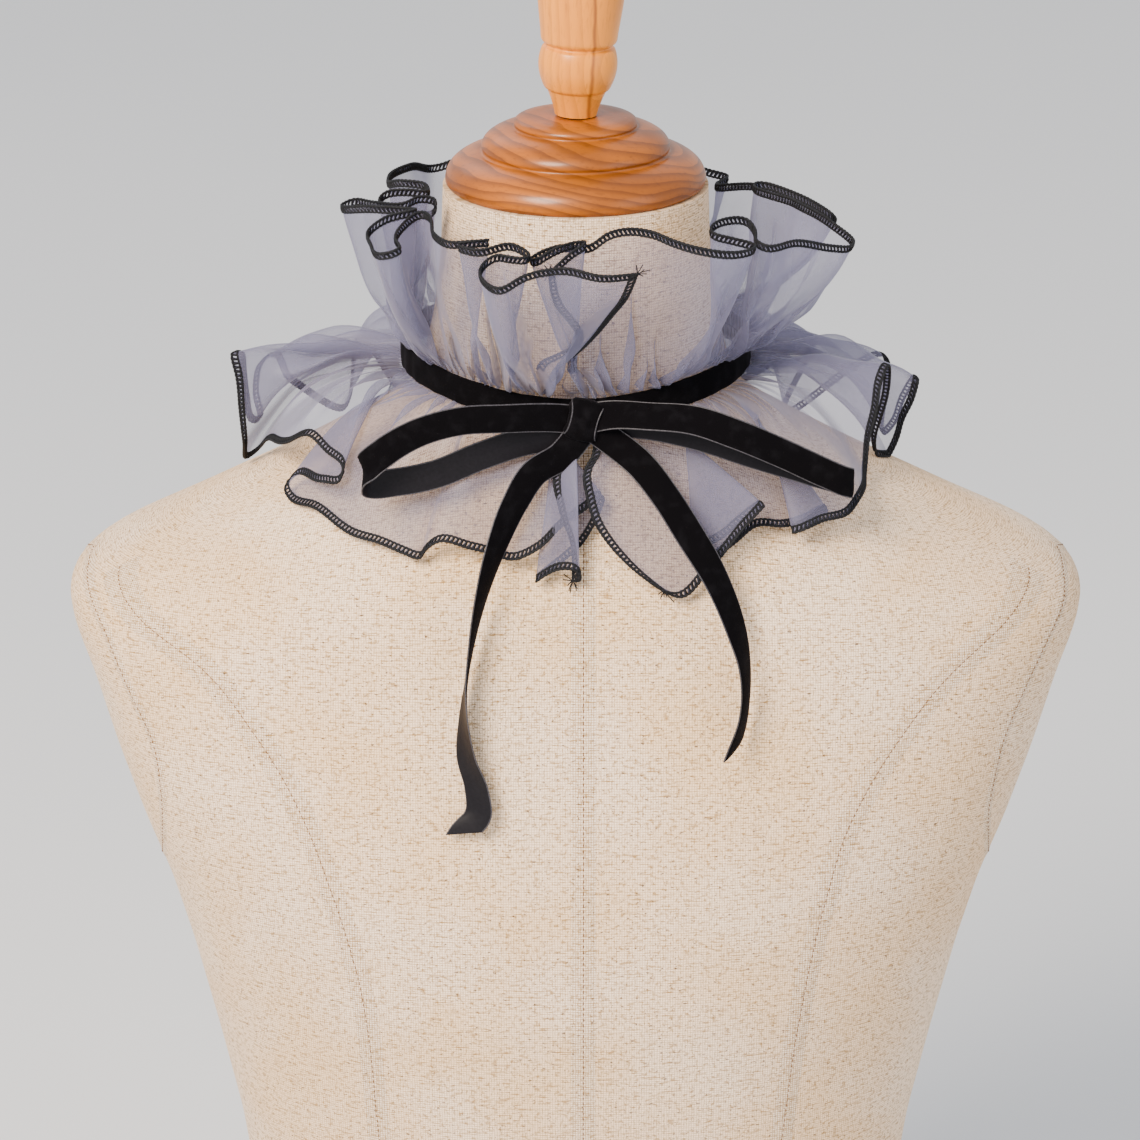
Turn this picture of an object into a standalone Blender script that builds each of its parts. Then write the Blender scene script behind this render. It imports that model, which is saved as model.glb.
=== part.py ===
"""Detachable ruffled collar on the limbless dress form that it rests on.

A strip of sheer organza is gathered along its middle line under a velvet ribbon. One half stands up
round the neck and the other lies on the shoulders. The ribbon closes at the front in a bow.
Sizes are in millimetres and are turned into metres as the meshes are made. +Z is up, the collar
faces -Y, and the origin is the centre of the form's flat underside.
Places are given as (across, front, rise): across runs to +X and front runs to -Y.
"""
import math

import bmesh
import bpy
import numpy as np
from mathutils import Matrix, Vector

MM = 0.001
SEAM_GAP = 0.3
MERGE_WITHIN = 0.00001

# Dress form
NECK_TOP = 600.0
FORM_COLUMNS = 56
FORM_RISES = (0, 30, 80, 130, 152, 170, 188, 210, 250, 290, 320, 345, 375, 405, 425, 438, 448, 456, 466,
              478, 490, 498, 504, 508, 511, 515, 520, 526, 534, 543, 552, 575, 600)
# Horizontal sections: rise, half width, depth to the front, depth to the back, squareness
FORM_SECTIONS = [
    (600, 52.0, 52.0, 52.0, 2.0),
    (575, 52.8, 53.0, 52.5, 2.0),
    (552, 55.0, 55.5, 54.5, 2.0),
    (534, 59.0, 59.0, 58.0, 2.0),
    (520, 63.5, 63.5, 62.0, 2.0),
    (511, 72.0, 66.5, 65.0, 2.0),
    (504, 86.0, 69.5, 68.0, 2.0),
    (490, 112.0, 75.0, 73.0, 2.0),
    (478, 138.0, 80.0, 78.0, 2.0),
    (466, 162.0, 84.5, 83.0, 2.1),
    (456, 184.0, 88.0, 87.0, 2.2),
    (448, 196.0, 90.5, 90.0, 2.3),
    (438, 203.0, 93.0, 93.0, 2.4),
    (425, 201.0, 96.5, 97.0, 2.5),
    (405, 193.5, 101.5, 101.0, 2.6),
    (375, 184.5, 107.5, 103.5, 2.6),
    (345, 174.5, 112.0, 104.0, 2.5),
    (320, 165.0, 114.0, 103.0, 2.4),
    (290, 156.5, 113.5, 100.0, 2.3),
    (250, 147.0, 108.0, 94.0, 2.2),
    (210, 138.0, 100.5, 89.0, 2.2),
    (170, 132.0, 95.5, 88.0, 2.2),
    (130, 138.5, 97.0, 94.0, 2.2),
    (80, 154.0, 102.0, 105.0, 2.2),
    (30, 167.0, 107.0, 114.0, 2.2),
    (0, 170.0, 108.0, 116.0, 2.2),
]

# Turned wooden neck cap: radius and height above the neck, from the top down the outer side
CAP_HEIGHT = 27.0
CAP_PROFILE = [
    (22.5, 26.8), (23.5, 25.0), (23.3, 23.0), (24.0, 22.8), (30.0, 22.0), (34.0, 19.5), (36.0, 16.0),
    (36.3, 13.2), (40.0, 12.5), (45.0, 10.5), (49.0, 7.0), (50.5, 3.0), (50.0, 0.0),
]
CAP_STEPS = 40

# Turned wooden finial: radius and height above its foot, from the top down the outer side
FINIAL_PROFILE = [
    (8.0, 83.2), (13.2, 80.0), (16.4, 74.6), (17.7, 67.0), (17.5, 58.0), (17.0, 48.0), (15.6, 37.0),
    (14.5, 29.5), (14.1, 27.4), (15.0, 23.5), (15.2, 20.0), (14.0, 14.5), (11.5, 9.4), (10.2, 4.0), (9.3, 0.0),
]
FINIAL_TOP = 84.5
FINIAL_STEPS = 32
FINIAL_LEAN = math.radians(2.5)

# Gathered strip and the ribbon over its middle line
WALL = 1.0
GATHER_RISE = 530.0
GATHER_REACH = 67.3
GATHER_FIRST_TURN = 6.0
GATHER_LAST_TURN = 364.0
TUCK = 1.5
TUCK_SHARE = 0.04
RIBBON_WIDTH = 11.0
RIBBON_STANDS_OFF = 0.8
RIBBON_STEPS = 72
HEM_COLUMNS = 176
GATHERS = 44
GATHER_DEPTH = 0.7
GATHER_SMOOTHING_PASSES = 300
GATHER_LEAST_STEP = 0.5
FORM_CLEARANCE = 1.4
CLEARING_PASSES = 12
# Rows from the gather to the hem: share of the way, and how many times the folds are smoothed there
STRIP_ROWS = [(0.0, 30), (0.3, 12), (0.65, 4), (1.0, 1)]
GATHER_ROW = 0.3
# How the cloth bends between the gather and the hem: how far out, as a share of its reach, at the back
# and sides and under the bow; how far up or down; and the height by which it springs off the gather
BEND_SHARE = 0.68
BEND_SHARE_UNDER_BOW = 0.34
BEND_RISE_SHARE = 0.15
UPPER_SWELL = 3.0
LOWER_SWELL = 9.0
# How narrowly the bow's pressing is kept to the front
BOW_PRESSING_POWER = 4

# Hem of the standing ruffle, a row for each bend: across, front, rise. It runs from the left strip end
# at the front, round the left side, to the back.
UPPER_HEM_LEFT = [
    (23, 99, 592), (10, 102, 592), (-4, 99, 594), (-19, 101, 592), (-29, 104, 588), (-36, 95, 592),
    (-31, 88, 596), (-18, 92, 596), (-17, 88, 596), (-24, 83, 599), (-37, 84, 597), (-45, 79, 598),
    (-38, 79, 599), (-31, 77, 599), (-38, 74, 598), (-48, 73, 597), (-54, 64, 598), (-56, 50, 601),
    (-60, 46, 600), (-66, 55, 598), (-67, 71, 594), (-74, 72, 592), (-80, 62, 593), (-80, 53, 595),
    (-73, 46, 599), (-62, 40, 601), (-64, 36, 600), (-79, 30, 599), (-91, 18, 596), (-88, 12, 597),
    (-79, 19, 598), (-66, 28, 600), (-58, 26, 600), (-57, 20, 597), (-64, 12, 592), (-77, 8, 595),
    (-75, 1, 597), (-62, 2, 597), (-61, -6, 598), (-74, -17, 595), (-75, -30, 595), (-66, -50, 594),
    (-54, -76, 587),
]
# The same hem from the right strip end at the front, round the right side, to the back
UPPER_HEM_RIGHT = [
    (-10, 90, 590), (-2, 84, 595), (8, 75, 599), (21, 69, 601), (35, 73, 598), (48, 76, 595), (61, 75, 593),
    (70, 68, 593), (67, 61, 594), (58, 60, 596), (52, 56, 597), (55, 50, 598), (66, 46, 598), (74, 52, 594),
    (86, 52, 591), (99, 42, 586), (107, 33, 584), (108, 25, 584), (100, 13, 588), (88, -8, 590),
    (75, -27, 590), (77, -35, 590), (92, -24, 587), (104, -14, 582), (103, -23, 580), (88, -48, 583),
    (72, -64, 583), (58, -80, 578), (62, -92, 578),
]
# Hem of the lower ruffle in the same two stretches
LOWER_HEM_LEFT = [
    (3, 92, 468), (-3, 93, 472), (-10, 92, 471), (-17, 90, 466), (-18, 85, 470), (-22, 83, 478),
    (-32, 87, 477), (-47, 86, 480), (-57, 85, 478), (-61, 82, 473), (-76, 75, 477), (-90, 66, 479),
    (-103, 52, 482), (-112, 39, 483), (-114, 42, 488), (-106, 56, 492), (-101, 64, 499), (-104, 56, 507),
    (-112, 40, 509), (-120, 20, 500), (-127, 0, 492), (-131, -9, 486), (-132, -3, 494), (-133, 5, 508),
    (-136, 6, 522), (-138, -1, 530), (-136, -9, 520), (-131, -17, 500), (-128, -23, 498), (-129, -30, 511),
    (-124, -37, 518), (-112, -50, 500),
]
LOWER_HEM_RIGHT = [
    (34, 90, 462), (41, 91, 461), (52, 89, 470), (66, 84, 486), (75, 79, 493), (72, 75, 488), (60, 77, 478),
    (58, 75, 476), (66, 72, 478), (78, 68, 482), (91, 62, 485), (105, 58, 487), (113, 48, 489), (114, 33, 494),
    (117, 27, 510), (121, 20, 526), (125, 11, 529), (124, 3, 512), (121, -3, 495), (122, -9, 487),
    (128, -12, 488), (132, -13, 500), (138, -18, 514), (135, -28, 507), (126, -38, 490),
]
# Folds round the back, worked out by back_folds: how many, then the reach and rise of the inner and
# outer bends, and how far each bend turns back over the last
UPPER_BACK = dict(folds=5, inner=(86.0, 590.0), outer=(110.0, 579.0), turned_back=3.0)
LOWER_BACK = dict(folds=7, inner=(112.0, 486.0), outer=(132.0, 513.0), turned_back=4.0)

# Ribbon lengths of the bow, a row for each bend: across, front, rise, and how far the ribbon is rolled
# about its own length there, in degrees
LEFT_LOOP = [
    (-5.6, 77, 528, 0), (-28, 84, 530, 0), (-44, 87, 530, 0), (-60, 89, 526, 0), (-73, 88, 518, 0),
    (-81, 84, 509, 0), (-79, 79, 503, 0), (-68, 76.4, 503, 0), (-54, 76.2, 506, 0), (-37, 75.8, 513, 0),
    (-22, 75.2, 518, 0), (-6.2, 74.8, 521, 0),
]
RIGHT_LOOP = [
    (12.4, 78.6, 530, 30), (28, 83, 531, 40), (45, 85, 530, 30), (61, 87, 525, 14), (80, 85, 516, 0),
    (95, 82.5, 508, 0), (103, 81, 504, 0), (106.5, 77.5, 502, 0), (103, 74, 502, 0), (87, 73.7, 507, 0),
    (69, 75, 513, 0), (46, 76, 521, 0), (28, 76, 525, 0), (12.3, 75, 526, 0),
]
LEFT_TAIL = [
    (-5, 77, 514, 0), (-16, 81.5, 508, 6), (-23, 88, 498, 30), (-30, 95, 482, 56), (-35, 98.5, 464, 76),
    (-39, 102, 445, 86), (-42, 105, 428, 104), (-43, 107.5, 412, 122), (-42, 108.5, 400, 150),
    (-38, 110, 387, 156), (-37, 111, 376, 156), (-42, 112, 366, 168),
]
RIGHT_TAIL = [
    (13, 76.8, 519.5, 0), (24, 82.2, 512, 16), (35, 90, 500, 26), (43, 94, 488, 20), (54, 98, 470, 38),
    (62, 101, 450, 52), (65, 103, 438, 66), (65, 106.5, 418, 70), (61, 108.5, 404, 60),
]
RIBBON_STEPS_PER_ROW = 3

KNOT_CENTRE = (3.0, 75.6, 527.0)
KNOT_SIZE = (15.0, 10.0, 16.5)
KNOT_LEAN = math.radians(14.0)
KNOT_ROUND = 2.6
KNOT_ROUND_STEPS = 3

LINEN = (0.72, 0.60, 0.46)
CAP_WOOD = (0.48, 0.17, 0.045)
FINIAL_WOOD = (0.68, 0.34, 0.11)
ORGANZA = (0.50, 0.50, 0.60)
VELVET = (0.006, 0.005, 0.007)


def clear_scene():
    """Remove every object of the open file."""
    for item in list(bpy.data.objects):
        bpy.data.objects.remove(item, do_unlink=True)


def make_collection():
    """Return the collection of the part, linked to the scene."""
    collection = bpy.data.collections.new("ruffled_collar_on_form")
    bpy.context.scene.collection.children.link(collection)
    return collection


def make_material(name, colour, roughness):
    """Return a plain Principled material.

    Args: name, linear RGB colour and roughness.
    """
    material = bpy.data.materials.new(name)
    material.use_nodes = True
    shader = material.node_tree.nodes["Principled BSDF"]
    shader.inputs["Base Color"].default_value = (*colour, 1.0)
    shader.inputs["Roughness"].default_value = roughness
    shader.inputs["Metallic"].default_value = 0.0
    return material


def to_scene(place):
    """Return the scene point, in metres, of a place given as (across, front, rise)."""
    across, front, rise = place
    return Vector((across * MM, -front * MM, rise * MM))


def smooth_between(keys, values, at):
    """Return values at the given keys along a smooth curve through the table.

    Args: keys, rising numbers; values, one row for each key; at, the keys wanted.
    Each span is a cubic whose slopes come from the neighbouring rows.
    """
    keys = np.asarray(keys, float)
    values = np.asarray(values, float)
    slopes = np.gradient(values, keys, axis=0)
    span = np.clip(np.searchsorted(keys, at, side="right") - 1, 0, len(keys) - 2)
    width = keys[span + 1] - keys[span]
    share = (np.asarray(at, float) - keys[span]) / width
    if values.ndim > 1:
        width = width[:, None]
        share = share[:, None]
    start = (2 * share**3 - 3 * share**2 + 1) * values[span]
    end = (3 * share**2 - 2 * share**3) * values[span + 1]
    leave = (share**3 - 2 * share**2 + share) * width * slopes[span]
    arrive = (share**3 - share**2) * width * slopes[span + 1]
    return start + end + leave + arrive


def form_reach(across, front, rise):
    """Return how far the dress form's surface is from its axis, towards the given places."""
    table = np.array(FORM_SECTIONS)[::-1]
    columns = [np.interp(rise, table[:, 0], table[:, k]) for k in range(1, 5)]
    half_width, front_depth, back_depth, squareness = columns
    reach = np.maximum(np.hypot(across, front), 1e-6)
    depth = np.where(front >= 0.0, front_depth, back_depth)
    side = np.abs(across / reach / half_width) ** squareness
    fore = np.abs(front / reach / depth) ** squareness
    return (side + fore) ** (-1.0 / squareness)


def clear_of_form(places, clearance):
    """Return the places moved out along the form's slope until they clear its surface."""
    places = np.array(places, float)
    step = 0.5
    for _ in range(CLEARING_PASSES):
        across, front, rise = places.T
        inside = np.hypot(across, front) - form_reach(across, front, rise)
        slope = np.stack([
            np.hypot(across + step, front) - form_reach(across + step, front, rise) - inside,
            np.hypot(across, front + step) - form_reach(across, front + step, rise) - inside,
            np.hypot(across, front) - form_reach(across, front, rise + step) - inside,
        ], axis=1) / step
        length = np.maximum(np.linalg.norm(slope, axis=1), 1e-6)
        missing = np.maximum(clearance - inside / length, 0.0)
        places += slope / length[:, None] * missing[:, None]
    return places


def object_from_faces(name, points, faces, material, collection):
    """Return a linked object made from points, in millimetres as (across, front, rise), and faces."""
    mesh = bpy.data.meshes.new(name)
    mesh.from_pydata([to_scene(point) for point in points], [], faces)
    mesh.materials.append(material)
    made = bpy.data.objects.new(name, mesh)
    collection.objects.link(made)
    return made


def face_outwards(made):
    """Turn all faces of a closed mesh outwards."""
    work = bmesh.new()
    work.from_mesh(made.data)
    bmesh.ops.recalc_face_normals(work, faces=work.faces)
    work.to_mesh(made.data)
    work.free()


def loft_rings(name, rings, material, collection):
    """Return a closed body through rings of equal length, with a flat face at each end."""
    count = len(rings[0])
    points = [place for ring in rings for place in ring]
    faces = []
    for level in range(len(rings) - 1):
        low = level * count
        for column in range(count):
            after = (column + 1) % count
            faces.append((low + column, low + after, low + count + after, low + count + column))
    faces.append(tuple(range(count)))
    faces.append(tuple(range(len(points) - count, len(points))))
    made = object_from_faces(name, points, faces, material, collection)
    face_outwards(made)
    return made


def turned_body(name, profile, top, steps, material, collection):
    """Return a solid of revolution about its own Z axis.

    Args: profile, (radius, height) points from the top down the outer side; top, the height of the
    centre point at the top.
    """
    points = [(0.0, top)] + list(profile) + [(0.0, profile[-1][1])]
    mesh = bpy.data.meshes.new(name)
    edges = [(k, k + 1) for k in range(len(points) - 1)]
    mesh.from_pydata([(radius * MM, 0.0, height * MM) for radius, height in points], edges, [])
    mesh.materials.append(material)
    made = bpy.data.objects.new(name, mesh)
    collection.objects.link(made)
    screw = made.modifiers.new("turn", "SCREW")
    screw.steps = steps
    screw.render_steps = steps
    screw.use_merge_vertices = True
    screw.merge_threshold = MERGE_WITHIN
    return made


def wall_from_grid(name, grid, thickness, material, collection):
    """Return a wall of even thickness on both sides of an open grid of places.

    Args: grid, an array of rows by columns by three, in millimetres.
    """
    rows, columns, _ = grid.shape
    faces = []
    for row in range(rows - 1):
        for column in range(columns - 1):
            corner = row * columns + column
            faces.append((corner, corner + 1, corner + columns + 1, corner + columns))
    made = object_from_faces(name, grid.reshape(-1, 3), faces, material, collection)
    solid = made.modifiers.new("wall", "SOLIDIFY")
    solid.thickness = thickness * MM
    solid.offset = 0.0
    solid.use_even_offset = False
    return made


def back_folds(first, last, folds, inner, outer, turned_back):
    """Return the places of the folds between the two hand-placed stretches of a hem.

    Args: first and last, the places beside the gap; folds, how many; inner and outer, the reach and
    rise of the bends; turned_back, how far each bend goes back over the last, in degrees.
    """
    start = math.degrees(math.atan2(-first[0], first[1])) % 360.0
    end = math.degrees(math.atan2(-last[0], last[1])) % 360.0
    places = []
    count = 2 * folds + 1
    for index in range(1, count):
        on_outer = index % 2 == 0
        reach, rise = outer if on_outer else inner
        turn = start + (end - start) * index / count + (turned_back if on_outer else -turned_back)
        angle = math.radians(turn)
        places.append((-reach * math.sin(angle), reach * math.cos(angle), rise))
    return places


def whole_hem(left, right, back):
    """Return the hem's table from the left strip end round to the right strip end."""
    return left + back_folds(left[-1], right[-1], **back) + right[::-1]


def lengths_along(places):
    """Return how far along their own line the places lie, from zero at the first."""
    steps = np.linalg.norm(np.diff(places, axis=0), axis=1)
    return np.concatenate([[0.0], np.cumsum(steps)])


def hem_columns(table):
    """Return the hem's places and their shares of its length, closer together in the bends."""
    table = np.array(table, float)
    lengths = lengths_along(table)
    by_bend = np.interp(np.linspace(0, len(table) - 1, HEM_COLUMNS), np.arange(len(table)), lengths)
    along = (by_bend + np.linspace(0.0, lengths[-1], HEM_COLUMNS)) / 2.0
    return smooth_between(lengths, table, along), along / lengths[-1]


def smoothed(places, passes):
    """Return the places with each inner one drawn to its neighbours, as many times as asked."""
    places = places.copy()
    for _ in range(passes):
        places[1:-1] = (places[:-2] + 2.0 * places[1:-1] + places[2:]) / 4.0
    return places


def gather_turns(hem):
    """Return the turn of each column on the gather line, following the hem's own turn in the large.

    Turns are in radians, from the front round the left side, and always go on round the neck.
    """
    turns = np.unwrap(np.arctan2(-hem[:, 0], hem[:, 1]))
    turns[0] = math.radians(GATHER_FIRST_TURN)
    turns[-1] = math.radians(GATHER_LAST_TURN)
    steps = np.diff(smoothed(turns, GATHER_SMOOTHING_PASSES))
    steps = np.maximum(steps, GATHER_LEAST_STEP * (turns[-1] - turns[0]) / len(steps))
    steps *= (turns[-1] - turns[0]) / steps.sum()
    return turns[0] + np.concatenate([[0.0], np.cumsum(steps)])


def ruffle_grid(table, first_rise, leave_rise, swell, under_bow):
    """Return the places of one ruffle, from the gather line (first row) to the hem (last row).

    Args: table, the hem's bends; first_rise, where the wall starts behind the ribbon; leave_rise,
    where it leaves the ribbon's edge; swell, the height by which the cloth springs out there;
    under_bow, whether the bow presses it down at the front.
    """
    whole, shares = hem_columns(table)
    turns = gather_turns(whole)
    tucked = np.clip((shares - 1.0 + TUCK_SHARE) / TUCK_SHARE, 0.0, 1.0)
    reach = GATHER_REACH - TUCK * tucked
    ends = np.clip(np.minimum(shares, 1.0 - shares) / TUCK_SHARE, 0.0, 1.0)
    waves = ends * np.sin(2.0 * math.pi * GATHERS * shares)
    pressed = (0.5 + 0.5 * np.cos(turns)) ** BOW_PRESSING_POWER if under_bow else np.zeros(len(turns))
    bend_share = BEND_SHARE + (BEND_SHARE_UNDER_BOW - BEND_SHARE) * pressed

    def on_gather(rise):
        return np.stack([-reach * np.sin(turns), reach * np.cos(turns), np.full(len(turns), rise)], axis=1)

    leave = on_gather(leave_rise)
    rows = [on_gather(first_rise)]
    for share, passes in STRIP_ROWS:
        hem = clear_of_form(smoothed(whole, passes), FORM_CLEARANCE)
        hem_reach = np.hypot(hem[:, 0], hem[:, 1])
        level = (hem[:, :2] / hem_reach[:, None] + leave[:, :2] / reach[:, None]) / 2.0
        level /= np.linalg.norm(level, axis=1)[:, None]
        bend_reach = reach + bend_share * (hem_reach - reach)
        bend_rise = leave_rise + BEND_RISE_SHARE * (hem[:, 2] - leave_rise) + swell * (1.0 - pressed)
        bend = np.column_stack([level * bend_reach[:, None], bend_rise])
        row = (1 - share) ** 2 * leave + 2 * share * (1 - share) * bend + share**2 * hem
        if share == GATHER_ROW:
            row[:, :2] += waves[:, None] * GATHER_DEPTH * level
        rows.append(clear_of_form(row, FORM_CLEARANCE))
    return np.array(rows)


def ribbon_grid(table, hangs):
    """Return the places of a length of ribbon, in two rows a ribbon's width apart.

    Args: table, bends as (across, front, rise, roll); hangs, whether the ribbon hangs down with its
    face to the front, or else runs level with its width upright.
    """
    table = np.array(table, float)
    lengths = lengths_along(table[:, :3])
    wanted = np.linspace(0, len(table) - 1, (len(table) - 1) * RIBBON_STEPS_PER_ROW + 1)
    along = np.interp(wanted, np.arange(len(table)), lengths)
    path = smooth_between(lengths, table, along)
    run = np.gradient(path[:, :3], axis=0)
    run /= np.linalg.norm(run, axis=1)[:, None]
    if hangs:
        width = np.cross(run, (0.0, 1.0, 0.0))
    else:
        upright = np.array([0.0, 0.0, 1.0])
        width = upright - run * (run @ upright)[:, None]
    width /= np.linalg.norm(width, axis=1)[:, None]
    roll = np.radians(path[:, 3])[:, None]
    width = width * np.cos(roll) + np.cross(run, width) * np.sin(roll)
    half = width * RIBBON_WIDTH / 2.0
    return np.array([path[:, :3] - half, path[:, :3] + half])


def build_form(material, collection):
    """Build the limbless torso with its neck, standing on a flat underside."""
    angles = np.linspace(0.0, 2.0 * math.pi, FORM_COLUMNS, endpoint=False)
    across = np.sin(angles)
    front = np.cos(angles)
    rings = []
    for rise in FORM_RISES:
        reach = form_reach(across, front, float(rise))
        rings.append([(x * r, y * r, rise) for x, y, r in zip(across, front, reach)])
    return loft_rings("form_torso", rings, material, collection)


def build_woodwork(collection):
    """Build the turned neck cap and the finial that leans in it."""
    cap = turned_body("form_neck_cap", CAP_PROFILE, CAP_HEIGHT, CAP_STEPS,
                      make_material("lacquered_wood", CAP_WOOD, 0.25), collection)
    cap.location = to_scene((0.0, 0.0, NECK_TOP + SEAM_GAP))
    finial = turned_body("form_finial", FINIAL_PROFILE, FINIAL_TOP, FINIAL_STEPS,
                         make_material("turned_wood", FINIAL_WOOD, 0.35), collection)
    foot_radius = FINIAL_PROFILE[-1][0]
    lift = foot_radius * math.sin(FINIAL_LEAN) + SEAM_GAP
    finial.location = to_scene((0.0, 0.0, NECK_TOP + SEAM_GAP + CAP_HEIGHT + lift))
    finial.rotation_euler = (0.0, FINIAL_LEAN, 0.0)


def build_ruffles(collection):
    """Build the standing ruffle and the lower ruffle, which meet behind the ribbon."""
    organza = make_material("organza", ORGANZA, 0.5)
    ribbon_edge = RIBBON_WIDTH / 2.0 + RIBBON_STANDS_OFF
    upper = ruffle_grid(whole_hem(UPPER_HEM_LEFT, UPPER_HEM_RIGHT, UPPER_BACK),
                        GATHER_RISE + SEAM_GAP / 2.0, GATHER_RISE + ribbon_edge, UPPER_SWELL, False)
    wall_from_grid("ruffle_upper", upper, WALL, organza, collection)
    lower = ruffle_grid(whole_hem(LOWER_HEM_LEFT, LOWER_HEM_RIGHT, LOWER_BACK),
                        GATHER_RISE - SEAM_GAP / 2.0, GATHER_RISE - ribbon_edge, LOWER_SWELL, True)
    wall_from_grid("ruffle_lower", lower, WALL, organza, collection)


def build_ribbon(collection):
    """Build the ribbon round the neck, the knot, the two loops and the two tails."""
    velvet = make_material("velvet", VELVET, 0.9)
    inner = GATHER_REACH + WALL / 2.0 + SEAM_GAP
    outer = inner + WALL
    half = RIBBON_WIDTH / 2.0
    ring = bpy.data.meshes.new("ribbon_band")
    corners = [(outer, half), (outer, -half), (inner, -half), (inner, half)]
    edges = [(k, (k + 1) % 4) for k in range(4)]
    ring.from_pydata([(radius * MM, 0.0, height * MM) for radius, height in corners], edges, [])
    ring.materials.append(velvet)
    band = bpy.data.objects.new("ribbon_band", ring)
    collection.objects.link(band)
    band.location = to_scene((0.0, 0.0, GATHER_RISE))
    turn = band.modifiers.new("turn", "SCREW")
    turn.steps = RIBBON_STEPS
    turn.render_steps = RIBBON_STEPS
    turn.use_merge_vertices = True
    turn.merge_threshold = MERGE_WITHIN
    bpy.ops.mesh.primitive_cube_add(size=1.0, location=to_scene(KNOT_CENTRE))
    knot = bpy.context.active_object
    knot.name = "bow_knot"
    knot.data.name = "bow_knot"
    knot.data.transform(Matrix.Diagonal((*[size * MM for size in KNOT_SIZE], 1.0)))
    knot.rotation_euler = (0.0, KNOT_LEAN, 0.0)
    knot.data.materials.append(velvet)
    bevel = knot.modifiers.new("round", "BEVEL")
    bevel.width = KNOT_ROUND * MM
    bevel.segments = KNOT_ROUND_STEPS
    for owner in list(knot.users_collection):
        owner.objects.unlink(knot)
    collection.objects.link(knot)
    lengths = (("bow_loop_left", LEFT_LOOP, False), ("bow_loop_right", RIGHT_LOOP, False),
               ("bow_tail_left", LEFT_TAIL, True), ("bow_tail_right", RIGHT_TAIL, True))
    for name, table, hangs in lengths:
        wall_from_grid(name, ribbon_grid(table, hangs), WALL, velvet, collection)


def main():
    """Build the whole part."""
    clear_scene()
    collection = make_collection()
    build_form(make_material("linen", LINEN, 0.9), collection)
    build_woodwork(collection)
    build_ruffles(collection)
    build_ribbon(collection)


main()
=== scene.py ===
"""Looks of the detachable ruffled collar and of the limbless dress form that it rests on.

A strip of sheer organza is gathered under a velvet ribbon. One half stands up round the neck and the
other lies on the shoulders, and all four edges of the strip are overlocked in black thread.
Lengths are in millimetres unless a name says otherwise. Places are (across, front, rise): across runs
to +X, front to -Y and rise to +Z, from the centre of the form's flat underside.
"""
import logging
import math
from collections.abc import Mapping, Sequence
from dataclasses import dataclass, field
from enum import Enum
from typing import Any

import bmesh
import bpy
import numpy as np
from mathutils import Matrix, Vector

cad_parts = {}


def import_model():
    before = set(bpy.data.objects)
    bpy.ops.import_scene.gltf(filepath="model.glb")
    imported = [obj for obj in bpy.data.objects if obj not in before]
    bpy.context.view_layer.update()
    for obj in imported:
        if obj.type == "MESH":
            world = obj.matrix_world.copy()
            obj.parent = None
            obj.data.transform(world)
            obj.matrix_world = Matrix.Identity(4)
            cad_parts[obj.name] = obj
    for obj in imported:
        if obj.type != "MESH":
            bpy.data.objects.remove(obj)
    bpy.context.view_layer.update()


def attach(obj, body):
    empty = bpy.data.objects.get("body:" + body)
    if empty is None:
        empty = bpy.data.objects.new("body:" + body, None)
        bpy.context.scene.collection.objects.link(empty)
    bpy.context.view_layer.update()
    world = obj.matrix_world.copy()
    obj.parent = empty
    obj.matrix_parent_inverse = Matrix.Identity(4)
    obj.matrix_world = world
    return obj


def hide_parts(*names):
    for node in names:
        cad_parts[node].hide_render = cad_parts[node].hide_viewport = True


LOG = logging.getLogger("ruffled_collar")
MM = 0.001
ROOT = "root"
# The layer of flat cloth coordinates that woven patterns follow
CLOTH = "cloth"
CRISP_ANGLE = math.radians(50.0)
Row = tuple[float, ...]
Table = Sequence[Row]


# Shared helpers


def to_metres(places: np.ndarray) -> np.ndarray:
    """Turn rows of (across, front, rise) in millimetres into scene points in metres."""
    return np.asarray(places, float) * np.array([MM, -MM, MM])


def linear(hex_colour: str) -> tuple[float, float, float, float]:
    """Turn an sRGB hex colour into linear light.

    Args:
        hex_colour: six hex digits after a hash sign.

    Returns:
        Red, green, blue and an alpha of one.
    """
    parts = [int(hex_colour[k:k + 2], 16) / 255.0 for k in (1, 3, 5)]
    red, green, blue = [c / 12.92 if c <= 0.04045 else ((c + 0.055) / 1.055) ** 2.4 for c in parts]
    return red, green, blue, 1.0


def unit(vectors: np.ndarray) -> np.ndarray:
    """Return the vectors with a length of one each."""
    return vectors / np.maximum(np.linalg.norm(vectors, axis=-1, keepdims=True), 1e-9)


def ease(share: np.ndarray) -> np.ndarray:
    """Return a soft step from 0 to 1 over shares from 0 to 1."""
    held = np.clip(share, 0.0, 1.0)
    return held * held * (3.0 - 2.0 * held)


def lengths_along(line: np.ndarray) -> np.ndarray:
    """Return how far along a line each of its points lies."""
    return np.concatenate([[0.0], np.cumsum(np.linalg.norm(np.diff(line, axis=0), axis=1))])


def at_lengths(line: np.ndarray, wanted: np.ndarray) -> np.ndarray:
    """Return a line's rows at wanted lengths, measured along its first three columns, the place."""
    lengths = lengths_along(line[:, :3])
    return np.column_stack([np.interp(wanted, lengths, column) for column in line.T])


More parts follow.
